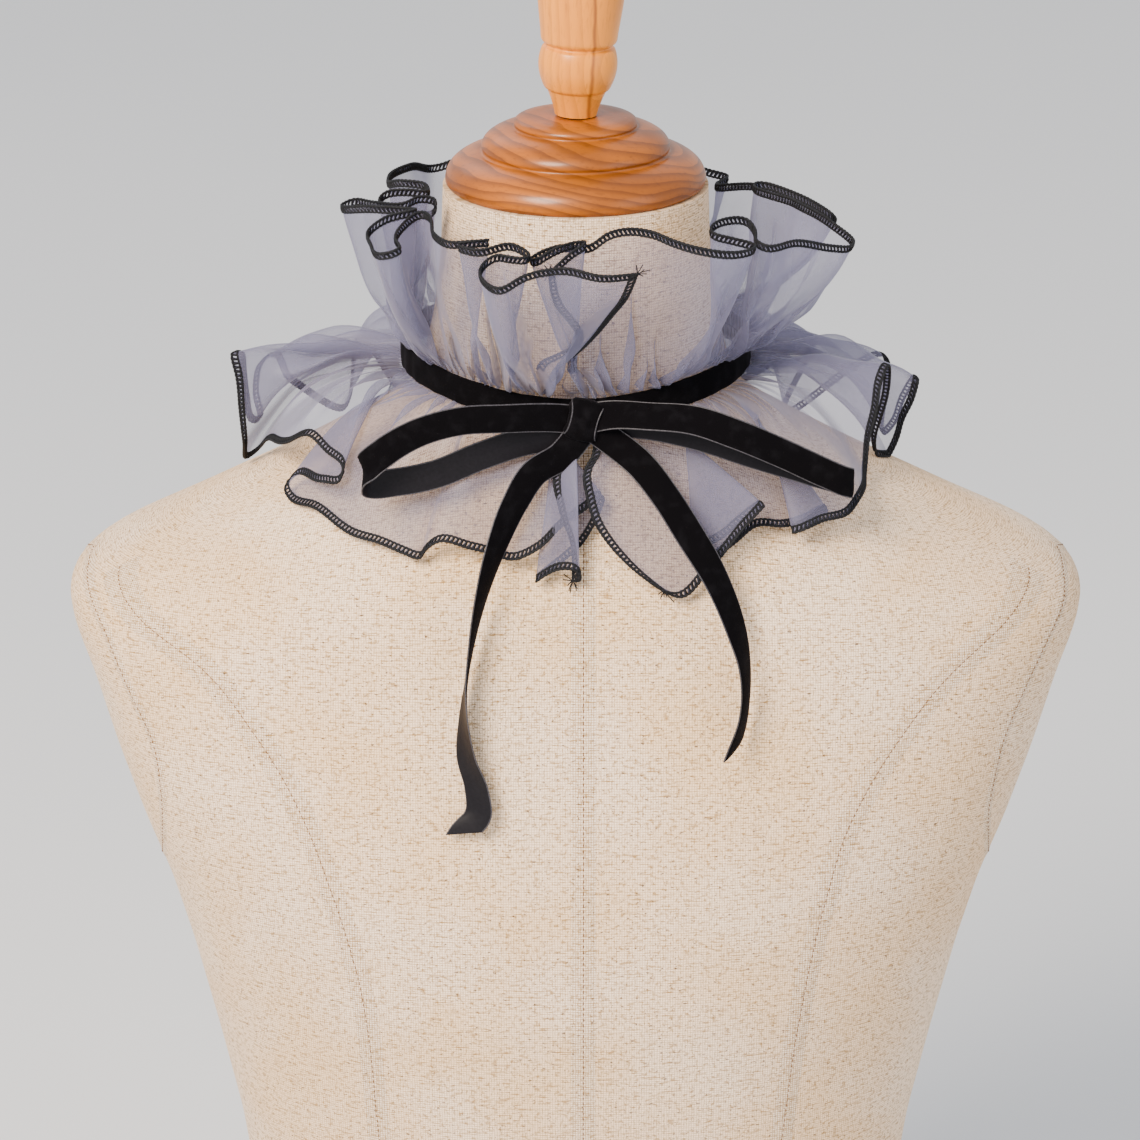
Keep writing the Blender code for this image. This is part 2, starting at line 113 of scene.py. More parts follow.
def smooth_line(table: Table, step: float) -> np.ndarray:
    """Run a smooth line through a table's rows.

    Args:
        table: rows whose first three columns are a place.
        step: how far apart the line's points are.

    Returns:
        Evenly spaced rows with the table's columns.
    """
    rows = np.array(table, float)
    keys = lengths_along(rows[:, :3])
    slopes = np.gradient(rows, keys, axis=0)
    fine = np.linspace(0.0, keys[-1], int(keys[-1] / step * 2.0) + 2)
    span = np.clip(np.searchsorted(keys, fine, side="right") - 1, 0, len(keys) - 2)
    width = (keys[span + 1] - keys[span])[:, None]
    share = ((fine - keys[span])[:, None]) / width
    line = ((2 * share**3 - 3 * share**2 + 1) * rows[span] + (3 * share**2 - 2 * share**3) * rows[span + 1]
            + (share**3 - 2 * share**2 + share) * width * slopes[span]
            + (share**3 - share**2) * width * slopes[span + 1])
    total = lengths_along(line[:, :3])[-1]
    return at_lengths(line, np.linspace(0.0, total, max(int(total / step), 2) + 1))


def drawn_smooth(line: np.ndarray, sigma: float, step: float) -> np.ndarray:
    """Soften an evenly spaced line and keep its ends.

    Args:
        line: rows, or single values, a step apart.
        sigma: how far the softening reaches.
        step: how far apart the rows are.

    Returns:
        The softened line.
    """
    if sigma < 0.3 * step:
        return line.copy()
    flat = line.reshape(len(line), -1)
    half = min(int(3.0 * sigma / step) + 1, len(flat) - 2)
    weights = np.exp(-0.5 * (np.arange(-half, half + 1) * step / sigma) ** 2)
    weights /= weights.sum()
    padded = np.concatenate([2 * flat[0] - flat[half:0:-1], flat, 2 * flat[-1] - flat[-2:-half - 2:-1]])
    soft = np.column_stack([np.convolve(column, weights, "valid") for column in padded.T])
    return soft.reshape(line.shape)


def wander(shares: np.ndarray, waves: int, seed: int) -> np.ndarray:
    """Return an uneven smooth value between about -1 and 1.

    Args:
        shares: where it is read, from 0 to 1.
        waves: about how many times it rises and falls.
        seed: which of the many such values it is.

    Returns:
        The value at each share.
    """
    chance = np.random.default_rng(seed)
    knots = chance.uniform(-1.0, 1.0, 2 * waves + 3)
    keys = np.linspace(0.0, 1.0, len(knots))
    fine = np.linspace(0.0, 1.0, 40 * len(knots))
    soft = drawn_smooth(np.interp(fine, keys, knots)[:, None], 14.0, 1.0)[:, 0]
    return np.interp(shares, fine, soft)


def grid_normals(grid: np.ndarray) -> np.ndarray:
    """Work out which way a grid of places faces.

    Args:
        grid: rows by columns of places.

    Returns:
        The unit normal at each place.
    """
    down = np.gradient(grid, axis=0)
    along = np.gradient(grid, axis=1)
    return unit(np.cross(along, down))


@dataclass
class MeshParts:
    """Points and faces gathered for one piece, each face with the place of its finish."""

    points: list[np.ndarray] = field(default_factory=list)
    faces: list[tuple[int, ...]] = field(default_factory=list)
    slots: list[int] = field(default_factory=list)
    count: int = 0

    def add(self, places: np.ndarray, faces: Sequence[Sequence[int]], slot: int = 0) -> None:
        """Add places and the faces between them.

        Args:
            places: rows of (across, front, rise).
            faces: rows of places' numbers.
            slot: which of the piece's finishes the faces have.
        """
        start = self.count
        self.points.append(np.asarray(places, float).reshape(-1, 3))
        self.count += len(self.points[-1])
        self.faces.extend(tuple(int(k) + start for k in face) for face in faces)
        self.slots.extend([slot] * len(faces))

    def add_tube(self, path: np.ndarray, lean: np.ndarray, radius: float, sides: int = 4, slot: int = 0,
                 ) -> None:
        """Add a closed tube along a path.

        Args:
            path: rows of places.
            lean: a vector at each place that the tube's first side faces.
            radius: the tube's radius.
            sides: how many sides it has.
            slot: which of the piece's finishes it has.
        """
        run = unit(np.gradient(path, axis=0))
        side = unit(np.cross(run, lean))
        up = np.cross(side, run)
        turn = 2.0 * math.pi * np.arange(sides) / sides
        rings = path[:, None] + radius * (np.cos(turn)[None, :, None] * side[:, None]
                                          + np.sin(turn)[None, :, None] * up[:, None])
        self.add(rings, closed_tube_faces(len(path), sides), slot)

    def build(self, name: str, finishes: Sequence[bpy.types.Material], smooth: bool = True,
              ) -> bpy.types.Object:
        """Make the mesh object.

        Args:
            name: the piece's name.
            finishes: its materials, in the order of the slots.
            smooth: whether its faces are shaded smoothly.

        Returns:
            The object, linked to the scene.
        """
        mesh = bpy.data.meshes.new(name)
        mesh.from_pydata(to_metres(np.concatenate(self.points)).tolist(), [], self.faces)
        for finish in finishes:
            mesh.materials.append(finish)
        mesh.polygons.foreach_set("material_index", self.slots)
        mesh.polygons.foreach_set("use_smooth", [smooth] * len(self.faces))
        mesh.validate()
        made = bpy.data.objects.new(name, mesh)
        bpy.context.scene.collection.objects.link(made)
        return made


def grid_faces(rows: int, columns: int) -> list[list[int]]:
    """Return the four-sided faces of an open grid, row by row."""
    low = (np.arange(rows - 1)[:, None] * columns + np.arange(columns - 1)[None, :]).reshape(-1)
    return np.stack([low, low + 1, low + columns + 1, low + columns], axis=1).tolist()


def closed_grid_faces(rows: int, columns: int) -> list[list[int]]:
    """Join the places of a grid whose last column meets its first.

    Args:
        rows: how many rows the grid has.
        columns: how many columns it has.

    Returns:
        The four-sided faces.
    """
    row = np.arange(rows - 1)[:, None] * columns
    here = np.arange(columns)[None, :]
    after = (here + 1) % columns
    return np.stack([row + here, row + after, row + columns + after, row + columns + here],
                    axis=2).reshape(-1, 4).tolist()


def closed_tube_faces(rows: int, columns: int) -> list[list[int]]:
    """Return a closed grid's faces with a face over the first ring and one over the last."""
    ends = [list(range(columns)), list(range((rows - 1) * columns, rows * columns))[::-1]]
    return closed_grid_faces(rows, columns) + ends


def set_coordinates(made: bpy.types.Object, values: np.ndarray) -> None:
    """Store flat cloth coordinates, in metres, for the weave to follow.

    Args:
        made: the object.
        values: one (along, across) row for each vertex.
    """
    layer = made.data.uv_layers.new(name=CLOTH)
    corners = np.zeros(len(made.data.loops), int)
    made.data.loops.foreach_get("vertex_index", corners)
    layer.data.foreach_set("uv", np.asarray(values, float)[corners].reshape(-1))


def face_out(made: bpy.types.Object) -> None:
    """Turn all faces of a closed mesh outwards, and keep its steep edges crisp.

    Args:
        made: the object.
    """
    work = bmesh.new()
    work.from_mesh(made.data)
    bmesh.ops.recalc_face_normals(work, faces=work.faces)
    work.to_mesh(made.data)
    work.free()
    made.data.set_sharp_from_angle(angle=CRISP_ANGLE)


def settle(made: bpy.types.Object, slot: str, *nodes: str) -> bpy.types.Object:
    """Let a piece ride on the part's one body and report it.

    Args:
        made: the piece.
        slot: a material slot of the record; not used.
        nodes: the solids that it stands for.

    Returns:
        The same piece.
    """
    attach(made, ROOT)
    if nodes:
        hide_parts(*nodes)
    triangles = sum(len(face.vertices) - 2 for face in made.data.polygons)
    LOG.info("%s: %d triangles", made.name, triangles)
    return made


# Finishes

# A wave texture of scale 1 has its bands this far apart, in metres
WAVE_GAP = 0.314


def fineness(size: float) -> float:
    """Return the noise texture's scale for features of a size in millimetres."""
    return 1.0 / (size * MM)


def add_node(tree: bpy.types.NodeTree, kind: str, settings: Mapping[str | int, Any] | None = None,
             ) -> bpy.types.Node:
    """Add a node with its settings and links.

    Args:
        tree: the material's node tree.
        kind: the node's type.
        settings: attributes by name, and inputs by name or number. A socket is linked to its input.

    Returns:
        The new node.
    """
    node = tree.nodes.new(kind)
    for key, value in (settings or {}).items():
        if isinstance(value, bpy.types.NodeSocket):
            tree.links.new(value, node.inputs[key])
        elif isinstance(key, str) and hasattr(node, key):
            setattr(node, key, value)
        else:
            node.inputs[key].default_value = value
    return node


def start_material(name: str, on_cloth: bool = False,
                   ) -> tuple[bpy.types.Material, bpy.types.NodeTree, bpy.types.NodeSocket]:
    """Start a material from an empty tree, with the place that its patterns follow.

    Args:
        name: the material's name.
        on_cloth: whether its patterns follow the flat cloth, and not the solid piece.

    Returns:
        The material, its tree and the socket of the place.
    """
    material = bpy.data.materials.new(name)
    material.use_nodes = True
    tree = material.node_tree
    tree.nodes.clear()
    if on_cloth:
        return material, tree, add_node(tree, "ShaderNodeUVMap", {"uv_map": CLOTH}).outputs[0]
    return material, tree, add_node(tree, "ShaderNodeTexCoord").outputs["Object"]


def tinted(tree: bpy.types.NodeTree, pattern: bpy.types.NodeSocket, colour: Any, tint: str,
           reads: tuple[float, float], shows: tuple[float, float] = (0.0, 1.0)) -> bpy.types.NodeSocket:
    """Lay a tint over a colour where a pattern is strong.

    Args:
        tree: the material's node tree.
        pattern: the socket of the pattern's value.
        colour: the colour under the tint, or its socket.
        tint: the tint's hex colour.
        reads: the two values of the pattern between which the tint changes softly.
        shows: how strongly the tint shows at those two values.

    Returns:
        The socket of the tinted colour.
    """
    factor = add_node(tree, "ShaderNodeMapRange", {
        "interpolation_type": "SMOOTHSTEP", 0: pattern, 1: reads[0], 2: reads[1], 3: shows[0],
        4: shows[1]}).outputs[0]
    return add_node(tree, "ShaderNodeMix", {
        "data_type": "RGBA", 0: factor, 6: colour, 7: linear(tint)}).outputs[2]


@dataclass(frozen=True)
class WovenOrganza:
    """Silk-like polyester organza, plain-woven from single bright threads.

    It is sheer where one layer is seen flat on. Layers and steep folds build up a milky lavender.
    """

    thread: str = "#84839F"
    through: str = "#787996"
    # The real threads are 0.12 mm apart, and are drawn coarser so that they show
    thread_gap: float = 0.55
    uneven_size: float = 16.667
    cover: float = 0.45
    steep_cover: float = 0.88
    through_share: float = 0.38

    def material(self) -> bpy.types.Material:
        """Make the material.

        Returns:
            The material.
        """
        material, tree, place = start_material("woven_organza", on_cloth=True)
        threads = [add_node(tree, "ShaderNodeTexWave", {
            "wave_type": "BANDS", "bands_direction": direction, "Scale": WAVE_GAP / (self.thread_gap * MM),
            "Distortion": 0.6, "Detail": 2.0, "Detail Scale": 1.5, "Vector": place}).outputs["Fac"]
            for direction in ("X", "Y")]
        weave = add_node(tree, "ShaderNodeMath", {
            "operation": "MAXIMUM", 0: threads[0], 1: threads[1]}).outputs[0]
        uneven = add_node(tree, "ShaderNodeTexNoise", {
            "Scale": fineness(self.uneven_size), "Detail": 3.0, "Vector": place}).outputs["Fac"]
        steep = add_node(tree, "ShaderNodeLayerWeight", {"Blend": 0.5}).outputs["Facing"]
        # What makes the cloth cover more: a value, its range, and the cover that the range gives
        makers = ((steep, 0.15, 0.95, self.cover, self.steep_cover),
                  (weave, 0.0, 1.0, 0.97, 1.02),
                  (uneven, 0.3, 0.7, 0.94, 1.06))
        covers = [add_node(tree, "ShaderNodeMapRange", {
            "interpolation_type": "SMOOTHSTEP", **dict(enumerate(maker))}).outputs[0] for maker in makers]
        cover = covers[0]
        for share in covers[1:]:
            cover = add_node(tree, "ShaderNodeMath", {"operation": "MULTIPLY", 0: cover, 1: share}).outputs[0]
        bump = add_node(tree, "ShaderNodeBump", {"Strength": 0.04, "Distance": 0.0001, "Height": weave})
        front = add_node(tree, "ShaderNodeBsdfPrincipled", {
            "Base Color": linear(self.thread), "Roughness": 0.42, "Specular IOR Level": 0.35,
            "Sheen Weight": 0.25, "Sheen Roughness": 0.4, "Normal": bump.outputs[0]})
        lit_through = add_node(tree, "ShaderNodeBsdfTranslucent", {"Color": linear(self.through)})
        cloth = add_node(tree, "ShaderNodeMixShader", {
            0: self.through_share, 1: front.outputs[0], 2: lit_through.outputs[0]})
        clear = add_node(tree, "ShaderNodeBsdfTransparent", {"Color": (1.0, 1.0, 1.0, 1.0)})
        sheer = add_node(tree, "ShaderNodeMixShader", {0: cover, 1: clear.outputs[0], 2: cloth.outputs[0]})
        add_node(tree, "ShaderNodeOutputMaterial", {"Surface": sheer.outputs[0]})
        return material


@dataclass(frozen=True)
class SpunThread:
    """Spun polyester overlock thread, dyed black, with a painted charcoal sheen where light grazes its hairs.
    """

    colour: str = "#08090C"
    fuzz_sheen: str = "#16181E"
    ply_size: float = 0.625

    def material(self) -> bpy.types.Material:
        """Make the material.

        Returns:
            The material.
        """
        material, tree, place = start_material("spun_black_thread")
        ply = add_node(tree, "ShaderNodeTexNoise", {
            "Scale": fineness(self.ply_size), "Detail": 2.0, "Vector": place}).outputs["Fac"]
        bump = add_node(tree, "ShaderNodeBump", {"Strength": 0.5, "Distance": 0.0002, "Height": ply})
        shader = add_node(tree, "ShaderNodeBsdfPrincipled", {
            # Painted sheen: the high ply is tinted charcoal
            "Base Color": tinted(tree, ply, linear(self.colour), self.fuzz_sheen, (0.4, 0.7)),
            "Roughness": 0.7, "Specular IOR Level": 0.25, "Normal": bump.outputs[0]})
        add_node(tree, "ShaderNodeOutputMaterial", {"Surface": shader.outputs[0]})
        return material


@dataclass(frozen=True)
class CutVelvet:
    """Black velvet ribbon, cut pile. Deep black flat on, with a soft painted grey sheen where the pile tips.

    The pile is 0.5 mm high and crushed in patches a few millimetres wide.
    """

    pile: str = "#050406"
    # Painted sheen: the lighter grey of the crushed, tipped pile
    crushed_sheen: str = "#0C0B0E"
    sheen: str = "#8C8894"
    crushed_size: float = 5.5556
    tuft_size: float = 0.38462

    def material(self) -> bpy.types.Material:
        """Make the material.

        Returns:
            The material.
        """
        material, tree, place = start_material("cut_velvet_black")
        crushed = add_node(tree, "ShaderNodeTexNoise", {
            "Scale": fineness(self.crushed_size), "Detail": 3.0, "Vector": place}).outputs["Fac"]
        tufts = add_node(tree, "ShaderNodeTexNoise", {
            "Scale": fineness(self.tuft_size), "Detail": 1.0, "Vector": place}).outputs["Fac"]
        bump = add_node(tree, "ShaderNodeBump", {"Strength": 0.6, "Distance": 0.0003, "Height": tufts})
        shader = add_node(tree, "ShaderNodeBsdfPrincipled", {
            # Painted sheen: the crushed patches are tinted a lighter grey
            "Base Color": tinted(tree, crushed, linear(self.pile), self.crushed_sheen, (0.45, 0.75)),
            "Roughness": 0.95, "Specular IOR Level": 0.06, "Sheen Weight": 0.10, "Sheen Roughness": 0.3,
            "Sheen Tint": linear(self.sheen), "Normal": bump.outputs[0]})
        add_node(tree, "ShaderNodeOutputMaterial", {"Surface": shader.outputs[0]})
        return material


@dataclass(frozen=True)
class WovenSatin:
    """The ribbon's satin-woven back: smooth charcoal with a long soft highlight."""

    colour: str = "#0C0B0F"
    # Painted highlight: the floats that stand high are tinted this lighter charcoal
    float_highlight: str = "#19181D"
    float_size: float = 1.1111

    def material(self) -> bpy.types.Material:
        """Make the material.

        Returns:
            The material.
        """
        material, tree, place = start_material("woven_satin_back")
        floats = add_node(tree, "ShaderNodeTexNoise", {
            "Scale": fineness(self.float_size), "Detail": 2.0, "Vector": place}).outputs["Fac"]
        bump = add_node(tree, "ShaderNodeBump", {"Strength": 0.15, "Distance": 0.0001, "Height": floats})
        # Painted highlight where the floats stand high in the bump
        colour = add_node(tree, "ShaderNodeMix", {
            "data_type": "RGBA", 0: floats, 6: linear(self.colour), 7: linear(self.float_highlight)}).outputs[2]
        shader = add_node(tree, "ShaderNodeBsdfPrincipled", {
            "Base Color": colour, "Roughness": 0.5, "Specular IOR Level": 0.10, "Normal": bump.outputs[0]})
        add_node(tree, "ShaderNodeOutputMaterial", {"Surface": shader.outputs[0]})
        return material


@dataclass(frozen=True)
class WovenSelvedge:
    """The ribbon's woven edge: a thin dark grey cord with fine crosswise threads."""

    colour: str = "#3A383E"
    # Painted shade in the gaps between the beads
    bead_gap_shade: str = "#232228"
    bead_size: float = 0.66667

    def material(self) -> bpy.types.Material:
        """Make the material.

        Returns:
            The material.
        """
        material, tree, place = start_material("woven_selvedge")
        beads = add_node(tree, "ShaderNodeTexNoise", {
            "Scale": fineness(self.bead_size), "Detail": 1.0, "Vector": place}).outputs["Fac"]
        shader = add_node(tree, "ShaderNodeBsdfPrincipled", {
            # Painted shade: the cord is darker where the beads are low
            "Base Color": tinted(tree, beads, linear(self.bead_gap_shade), self.colour, (0.35, 0.65)),
            "Roughness": 0.6})
        add_node(tree, "ShaderNodeOutputMaterial", {"Surface": shader.outputs[0]})
        return material


@dataclass(frozen=True)
class SlubbedLinen:
    """Natural linen, plain-woven from uneven yarn. Cream ground with short tan and brown slubs."""

    name: str = "slubbed_linen"
    ground: str = "#FFE7CC"
    warm: str = "#F8D6AE"
    # Painted shade in the gaps between the threads
    shade: str = "#AA865A"
    slub: str = "#8A6526"
    fleck: str = "#452C12"
    # The real yarns are 0.6 mm apart, and are drawn coarser so that they show
    thread_gap: float = 1.0
    cloud_size: float = 71.4286
    # How strong the painted shade in the gaps between the threads is
    gap_shade_strength: float = 0.58

    def material(self) -> bpy.types.Material:
        """Make the material.

        Returns:
            The material.
        """
        material, tree, place = start_material(self.name, on_cloth=True)
        weave = [add_node(tree, "ShaderNodeTexWave", {
            "wave_type": "BANDS", "bands_direction": direction, "Scale": WAVE_GAP / (self.thread_gap * MM),
            "Distortion": 1.6, "Detail": 2.0, "Detail Scale": 1.2, "Vector": place}).outputs["Fac"]
            for direction in ("X", "Y")]
        woven = add_node(tree, "ShaderNodeMath", {
            "operation": "MULTIPLY", 0: weave[0], 1: weave[1]}).outputs[0]
        cloud = add_node(tree, "ShaderNodeTexNoise", {
            "Scale": fineness(self.cloud_size), "Detail": 4.0, "Vector": place}).outputs["Fac"]
        colour = tinted(tree, cloud, linear(self.ground), self.warm, (0.35, 0.65))
        # Painted shade where the weave is low, between the threads
        colour = tinted(tree, woven, colour, self.shade, (0.40, 0.0), (0.0, self.gap_shade_strength))
        height = woven
        # Slubs: shrink along and across the weft, size, where they start and end, colour, strength
        kinds = (((0.36, 1.0, 1.0), 1.0, (0.53, 0.68), self.slub, 0.62),
                 ((1.0, 0.42, 1.0), 0.909091, (0.54, 0.69), self.slub, 0.55),
                 ((0.10, 1.0, 1.0), 0.833333, (0.61, 0.69), self.slub, 0.60),
                 ((0.50, 1.0, 1.0), 0.952381, (0.645, 0.70), self.fleck, 0.80))
        for number, (shrink, size, reads, tint, most) in enumerate(kinds):
            run = add_node(tree, "ShaderNodeMapping", {
                "Scale": shrink, "Location": (number, 0.0, 0.0), "Vector": place}).outputs[0]
            slub = add_node(tree, "ShaderNodeTexNoise", {
                "Scale": fineness(size), "Detail": 1.5, "Vector": run}).outputs["Fac"]
            colour = tinted(tree, slub, colour, tint, reads, (0.0, most))
            height = add_node(tree, "ShaderNodeMath", {"operation": "ADD", 0: height, 1: slub}).outputs[0]
        bump = add_node(tree, "ShaderNodeBump", {"Strength": 0.3, "Distance": 0.0004, "Height": height})
        shader = add_node(tree, "ShaderNodeBsdfPrincipled", {
            "Base Color": colour, "Roughness": 0.92, "Specular IOR Level": 0.2, "Sheen Weight": 0.08,
            "Normal": bump.outputs[0]})
        add_node(tree, "ShaderNodeOutputMaterial", {"Surface": shader.outputs[0]})
        return material


@dataclass(frozen=True)
class StitchThread:
    """Tan sewing thread along the form's seams. It reads as a line of small brown dots."""

    colour: str = "#7A5026"
    dark: str = "#5A3818"
    ply_size: float = 0.714286

    def material(self) -> bpy.types.Material:
        """Make the material.

        Returns:
            The material.
        """
        material, tree, place = start_material("tan_sewing_thread")
        ply = add_node(tree, "ShaderNodeTexNoise", {
            "Scale": fineness(self.ply_size), "Vector": place}).outputs["Fac"]
        colour = add_node(tree, "ShaderNodeMix", {
            "data_type": "RGBA", 0: ply, 6: linear(self.colour), 7: linear(self.dark)}).outputs[2]
        shader = add_node(tree, "ShaderNodeBsdfPrincipled", {"Base Color": colour, "Roughness": 0.7})
        add_node(tree, "ShaderNodeOutputMaterial", {"Surface": shader.outputs[0]})
        return material


class Grain(Enum):
    """Which way the growth layers lie in a turned piece."""

    LEVEL = "level"
    UPRIGHT = "upright"


@dataclass(frozen=True)
class TurnedWood:
    """A close-grained hardwood, turned, stained and lacquered.

    The growth layers run through the whole block. Level layers draw ovals on a dome, and upright ones
    draw long lines. The lacquer gives narrow bright highlights along each bead.
    """

    name: str
    light: str
    dark: str
    line: str
    grain: Grain
    layer_gap: float
    line_strength: float
    coat: float
    coat_roughness: float
    streak_at: float | None = None
    streak_half_width: float = 1.3
    streak: str = "#7A3E16"
    sway: float = 4.0
    sway_size: float = 16.6667
    fibre_size: float = 1.1111
    cloud_size: float = 22.2222

    def material(self) -> bpy.types.Material:
        """Make the material.

        Returns:
            The material.
        """
        material, tree, place = start_material(self.name)
        level = self.grain is Grain.LEVEL
        tilt = (0.10, -0.14, 0.3) if level else (0.03, 0.02, 0.5)
        shrink = (0.35, 0.6, 1.0) if level else (1.0, 1.0, 0.10)
        bend_size = 38.4615 if level else 20.0
        bend_depth = (0.02, 0.02, 0.02) if level else (0.006, 0.006, 0.0)
        block = add_node(tree, "ShaderNodeMapping", {"Rotation": tilt, "Vector": place}).outputs[0]
        drawn = add_node(tree, "ShaderNodeMapping", {"Scale": shrink, "Vector": block}).outputs[0]
        bend = add_node(tree, "ShaderNodeTexNoise", {
            "Scale": fineness(bend_size), "Detail": 2.0, "Vector": drawn}).outputs["Color"]
        bent = add_node(tree, "ShaderNodeVectorMath", {
            "operation": "MULTIPLY_ADD", 0: bend, 1: bend_depth, 2: block}).outputs[0]
        layers = add_node(tree, "ShaderNodeTexWave", {
            "wave_type": "BANDS", "bands_direction": "Z" if level else "X", "wave_profile": "SAW",
            "Scale": WAVE_GAP / (self.layer_gap * MM), "Distortion": 0.8, "Detail": 2.0,
            "Detail Scale": 1.0, "Vector": bent}).outputs["Fac"]
        fibres = add_node(tree, "ShaderNodeTexNoise", {
            "Scale": fineness(self.fibre_size), "Detail": 3.0, "Vector": drawn}).outputs["Fac"]
        clouds = add_node(tree, "ShaderNodeTexNoise", {
            "Scale": fineness(self.cloud_size), "Detail": 2.0, "Vector": drawn}).outputs["Fac"]
        colour = tinted(tree, clouds, linear(self.light), self.dark, (0.3, 0.7))
        colour = tinted(tree, layers, colour, self.line, (0.3, 1.0), (0.0, self.line_strength))
        colour = tinted(tree, fibres, colour, self.line, (0.5, 0.8), (0.0, 0.45))
        if self.streak_at is not None:
            colour = self.streaked(tree, place, colour)
        bump = add_node(tree, "ShaderNodeBump", {"Strength": 0.06, "Distance": 0.0003, "Height": fibres})
        shader = add_node(tree, "ShaderNodeBsdfPrincipled", {
            "Base Color": colour, "Roughness": 0.42, "Specular IOR Level": 0.25, "Coat Weight": self.coat,
            "Coat Roughness": self.coat_roughness, "Normal": bump.outputs[0]})
        add_node(tree, "ShaderNodeOutputMaterial", {"Surface": shader.outputs[0]})
        return material

    def streaked(self, tree: bpy.types.NodeTree, place: bpy.types.NodeSocket,
                 colour: bpy.types.NodeSocket) -> bpy.types.NodeSocket:
        """Draw one dark upright mineral streak in the wood.

        Args:
            tree: the material's node tree.
            place: the socket of the place in the piece.
            colour: the socket of the colour so far.

        Returns:
            The socket of the colour with the streak.
        """
        wavering = add_node(tree, "ShaderNodeTexNoise", {
            "Scale": fineness(self.sway_size), "Detail": 2.0, "Vector": place}).outputs["Fac"]
        across = add_node(tree, "ShaderNodeSeparateXYZ", {0: place}).outputs[0]
        shifted = add_node(tree, "ShaderNodeMath", {
            "operation": "MULTIPLY_ADD", 0: wavering, 1: self.sway * MM, 2: across}).outputs[0]
        off = add_node(tree, "ShaderNodeMath", {
            "operation": "SUBTRACT", 0: shifted, 1: (self.streak_at + self.sway / 2.0) * MM}).outputs[0]
        far = add_node(tree, "ShaderNodeMath", {"operation": "ABSOLUTE", 0: off}).outputs[0]
        return tinted(tree, far, colour, self.streak, (0.0, self.streak_half_width * MM), (0.75, 0.0))


# The dress form

NECK_TOP = 600.0
# Where the neck's own piece of linen begins, under the collar's ribbon
NECK_SEAM = 531.0
FORM_CLEARANCE = 0.9
CLEARING_PASSES = 10
# Horizontal sections: rise, half width, depth to the front, depth to the back, squareness
FORM_SECTIONS: Table = (
    (0, 170.0, 108.0, 116.0, 2.2), (30, 167.0, 107.0, 114.0, 2.2), (80, 154.0, 102.0, 105.0, 2.2),
    (130, 138.5, 97.0, 94.0, 2.2), (170, 132.0, 95.5, 88.0, 2.2), (210, 138.0, 100.5, 89.0, 2.2),
    (250, 147.0, 108.0, 94.0, 2.2), (290, 156.5, 113.5, 100.0, 2.3), (320, 165.0, 114.0, 103.0, 2.4),
    (345, 174.5, 112.0, 104.0, 2.5), (375, 184.5, 107.5, 103.5, 2.6), (405, 193.5, 101.5, 101.0, 2.6),
    (425, 201.0, 96.5, 97.0, 2.5), (438, 203.0, 93.0, 93.0, 2.4), (448, 196.0, 90.5, 90.0, 2.3),
    (456, 184.0, 88.0, 87.0, 2.2), (466, 162.0, 84.5, 83.0, 2.1), (478, 138.0, 80.0, 78.0, 2.0),
    (490, 112.0, 75.0, 73.0, 2.0), (504, 86.0, 69.5, 68.0, 2.0), (511, 72.0, 66.5, 65.0, 2.0),
    (520, 63.5, 63.5, 62.0, 2.0), (534, 59.0, 59.0, 58.0, 2.0), (552, 55.0, 55.5, 54.5, 2.0),
    (575, 52.8, 53.0, 52.5, 2.0), (600, 52.0, 52.0, 52.0, 2.0),
)


def form_reach(across: np.ndarray, front: np.ndarray, rise: np.ndarray | float) -> np.ndarray:
    """Return how far the form's surface is from its axis.

    Args:
        across: places' across, which with front gives the direction.
        front: places' front.
        rise: places' rise.

    Returns:
        The reach towards each place.
    """
    table = np.array(FORM_SECTIONS)
    half_width, front_depth, back_depth, squareness = [
        np.interp(rise, table[:, 0], table[:, k]) for k in range(1, 5)]
    reach = np.maximum(np.hypot(across, front), 1e-6)
    depth = np.where(front >= 0.0, front_depth, back_depth)
    side = np.abs(across / reach / half_width) ** squareness
    fore = np.abs(front / reach / depth) ** squareness
    return (side + fore) ** (-1.0 / squareness)


def clear_of_form(places: np.ndarray, clearance: float) -> np.ndarray:
    """Move places out along the form's slope until they clear its surface.

    Args:
        places: rows of (across, front, rise).
        clearance: the least distance from the surface.

    Returns:
        The moved places.
    """
    moved = np.array(places, float)
    step = 0.5
    for _ in range(CLEARING_PASSES):
        across, front, rise = moved.T
        inside = np.hypot(across, front) - form_reach(across, front, rise)
        slope = np.stack([
            np.hypot(across + step, front) - form_reach(across + step, front, rise) - inside,
            np.hypot(across, front + step) - form_reach(across, front + step, rise) - inside,
            np.hypot(across, front) - form_reach(across, front, rise + step) - inside], axis=1) / step
        length = np.maximum(np.linalg.norm(slope, axis=1), 1e-6)
        missing = np.maximum(clearance - inside / length, 0.0)
        moved += slope / length[:, None] * missing[:, None]
    return moved


# The seam of the back's left panel, which the right one mirrors
BACK_PANEL_SEAM: Table = (
    (-184, -48, 418), (-160, -70, 410), (-128, -88, 390), (-100, -96, 355), (-80, -96, 300),
    (-68, -88, 230), (-62, -82, 170), (-70, -92, 80), (-78, -104, 1),
)


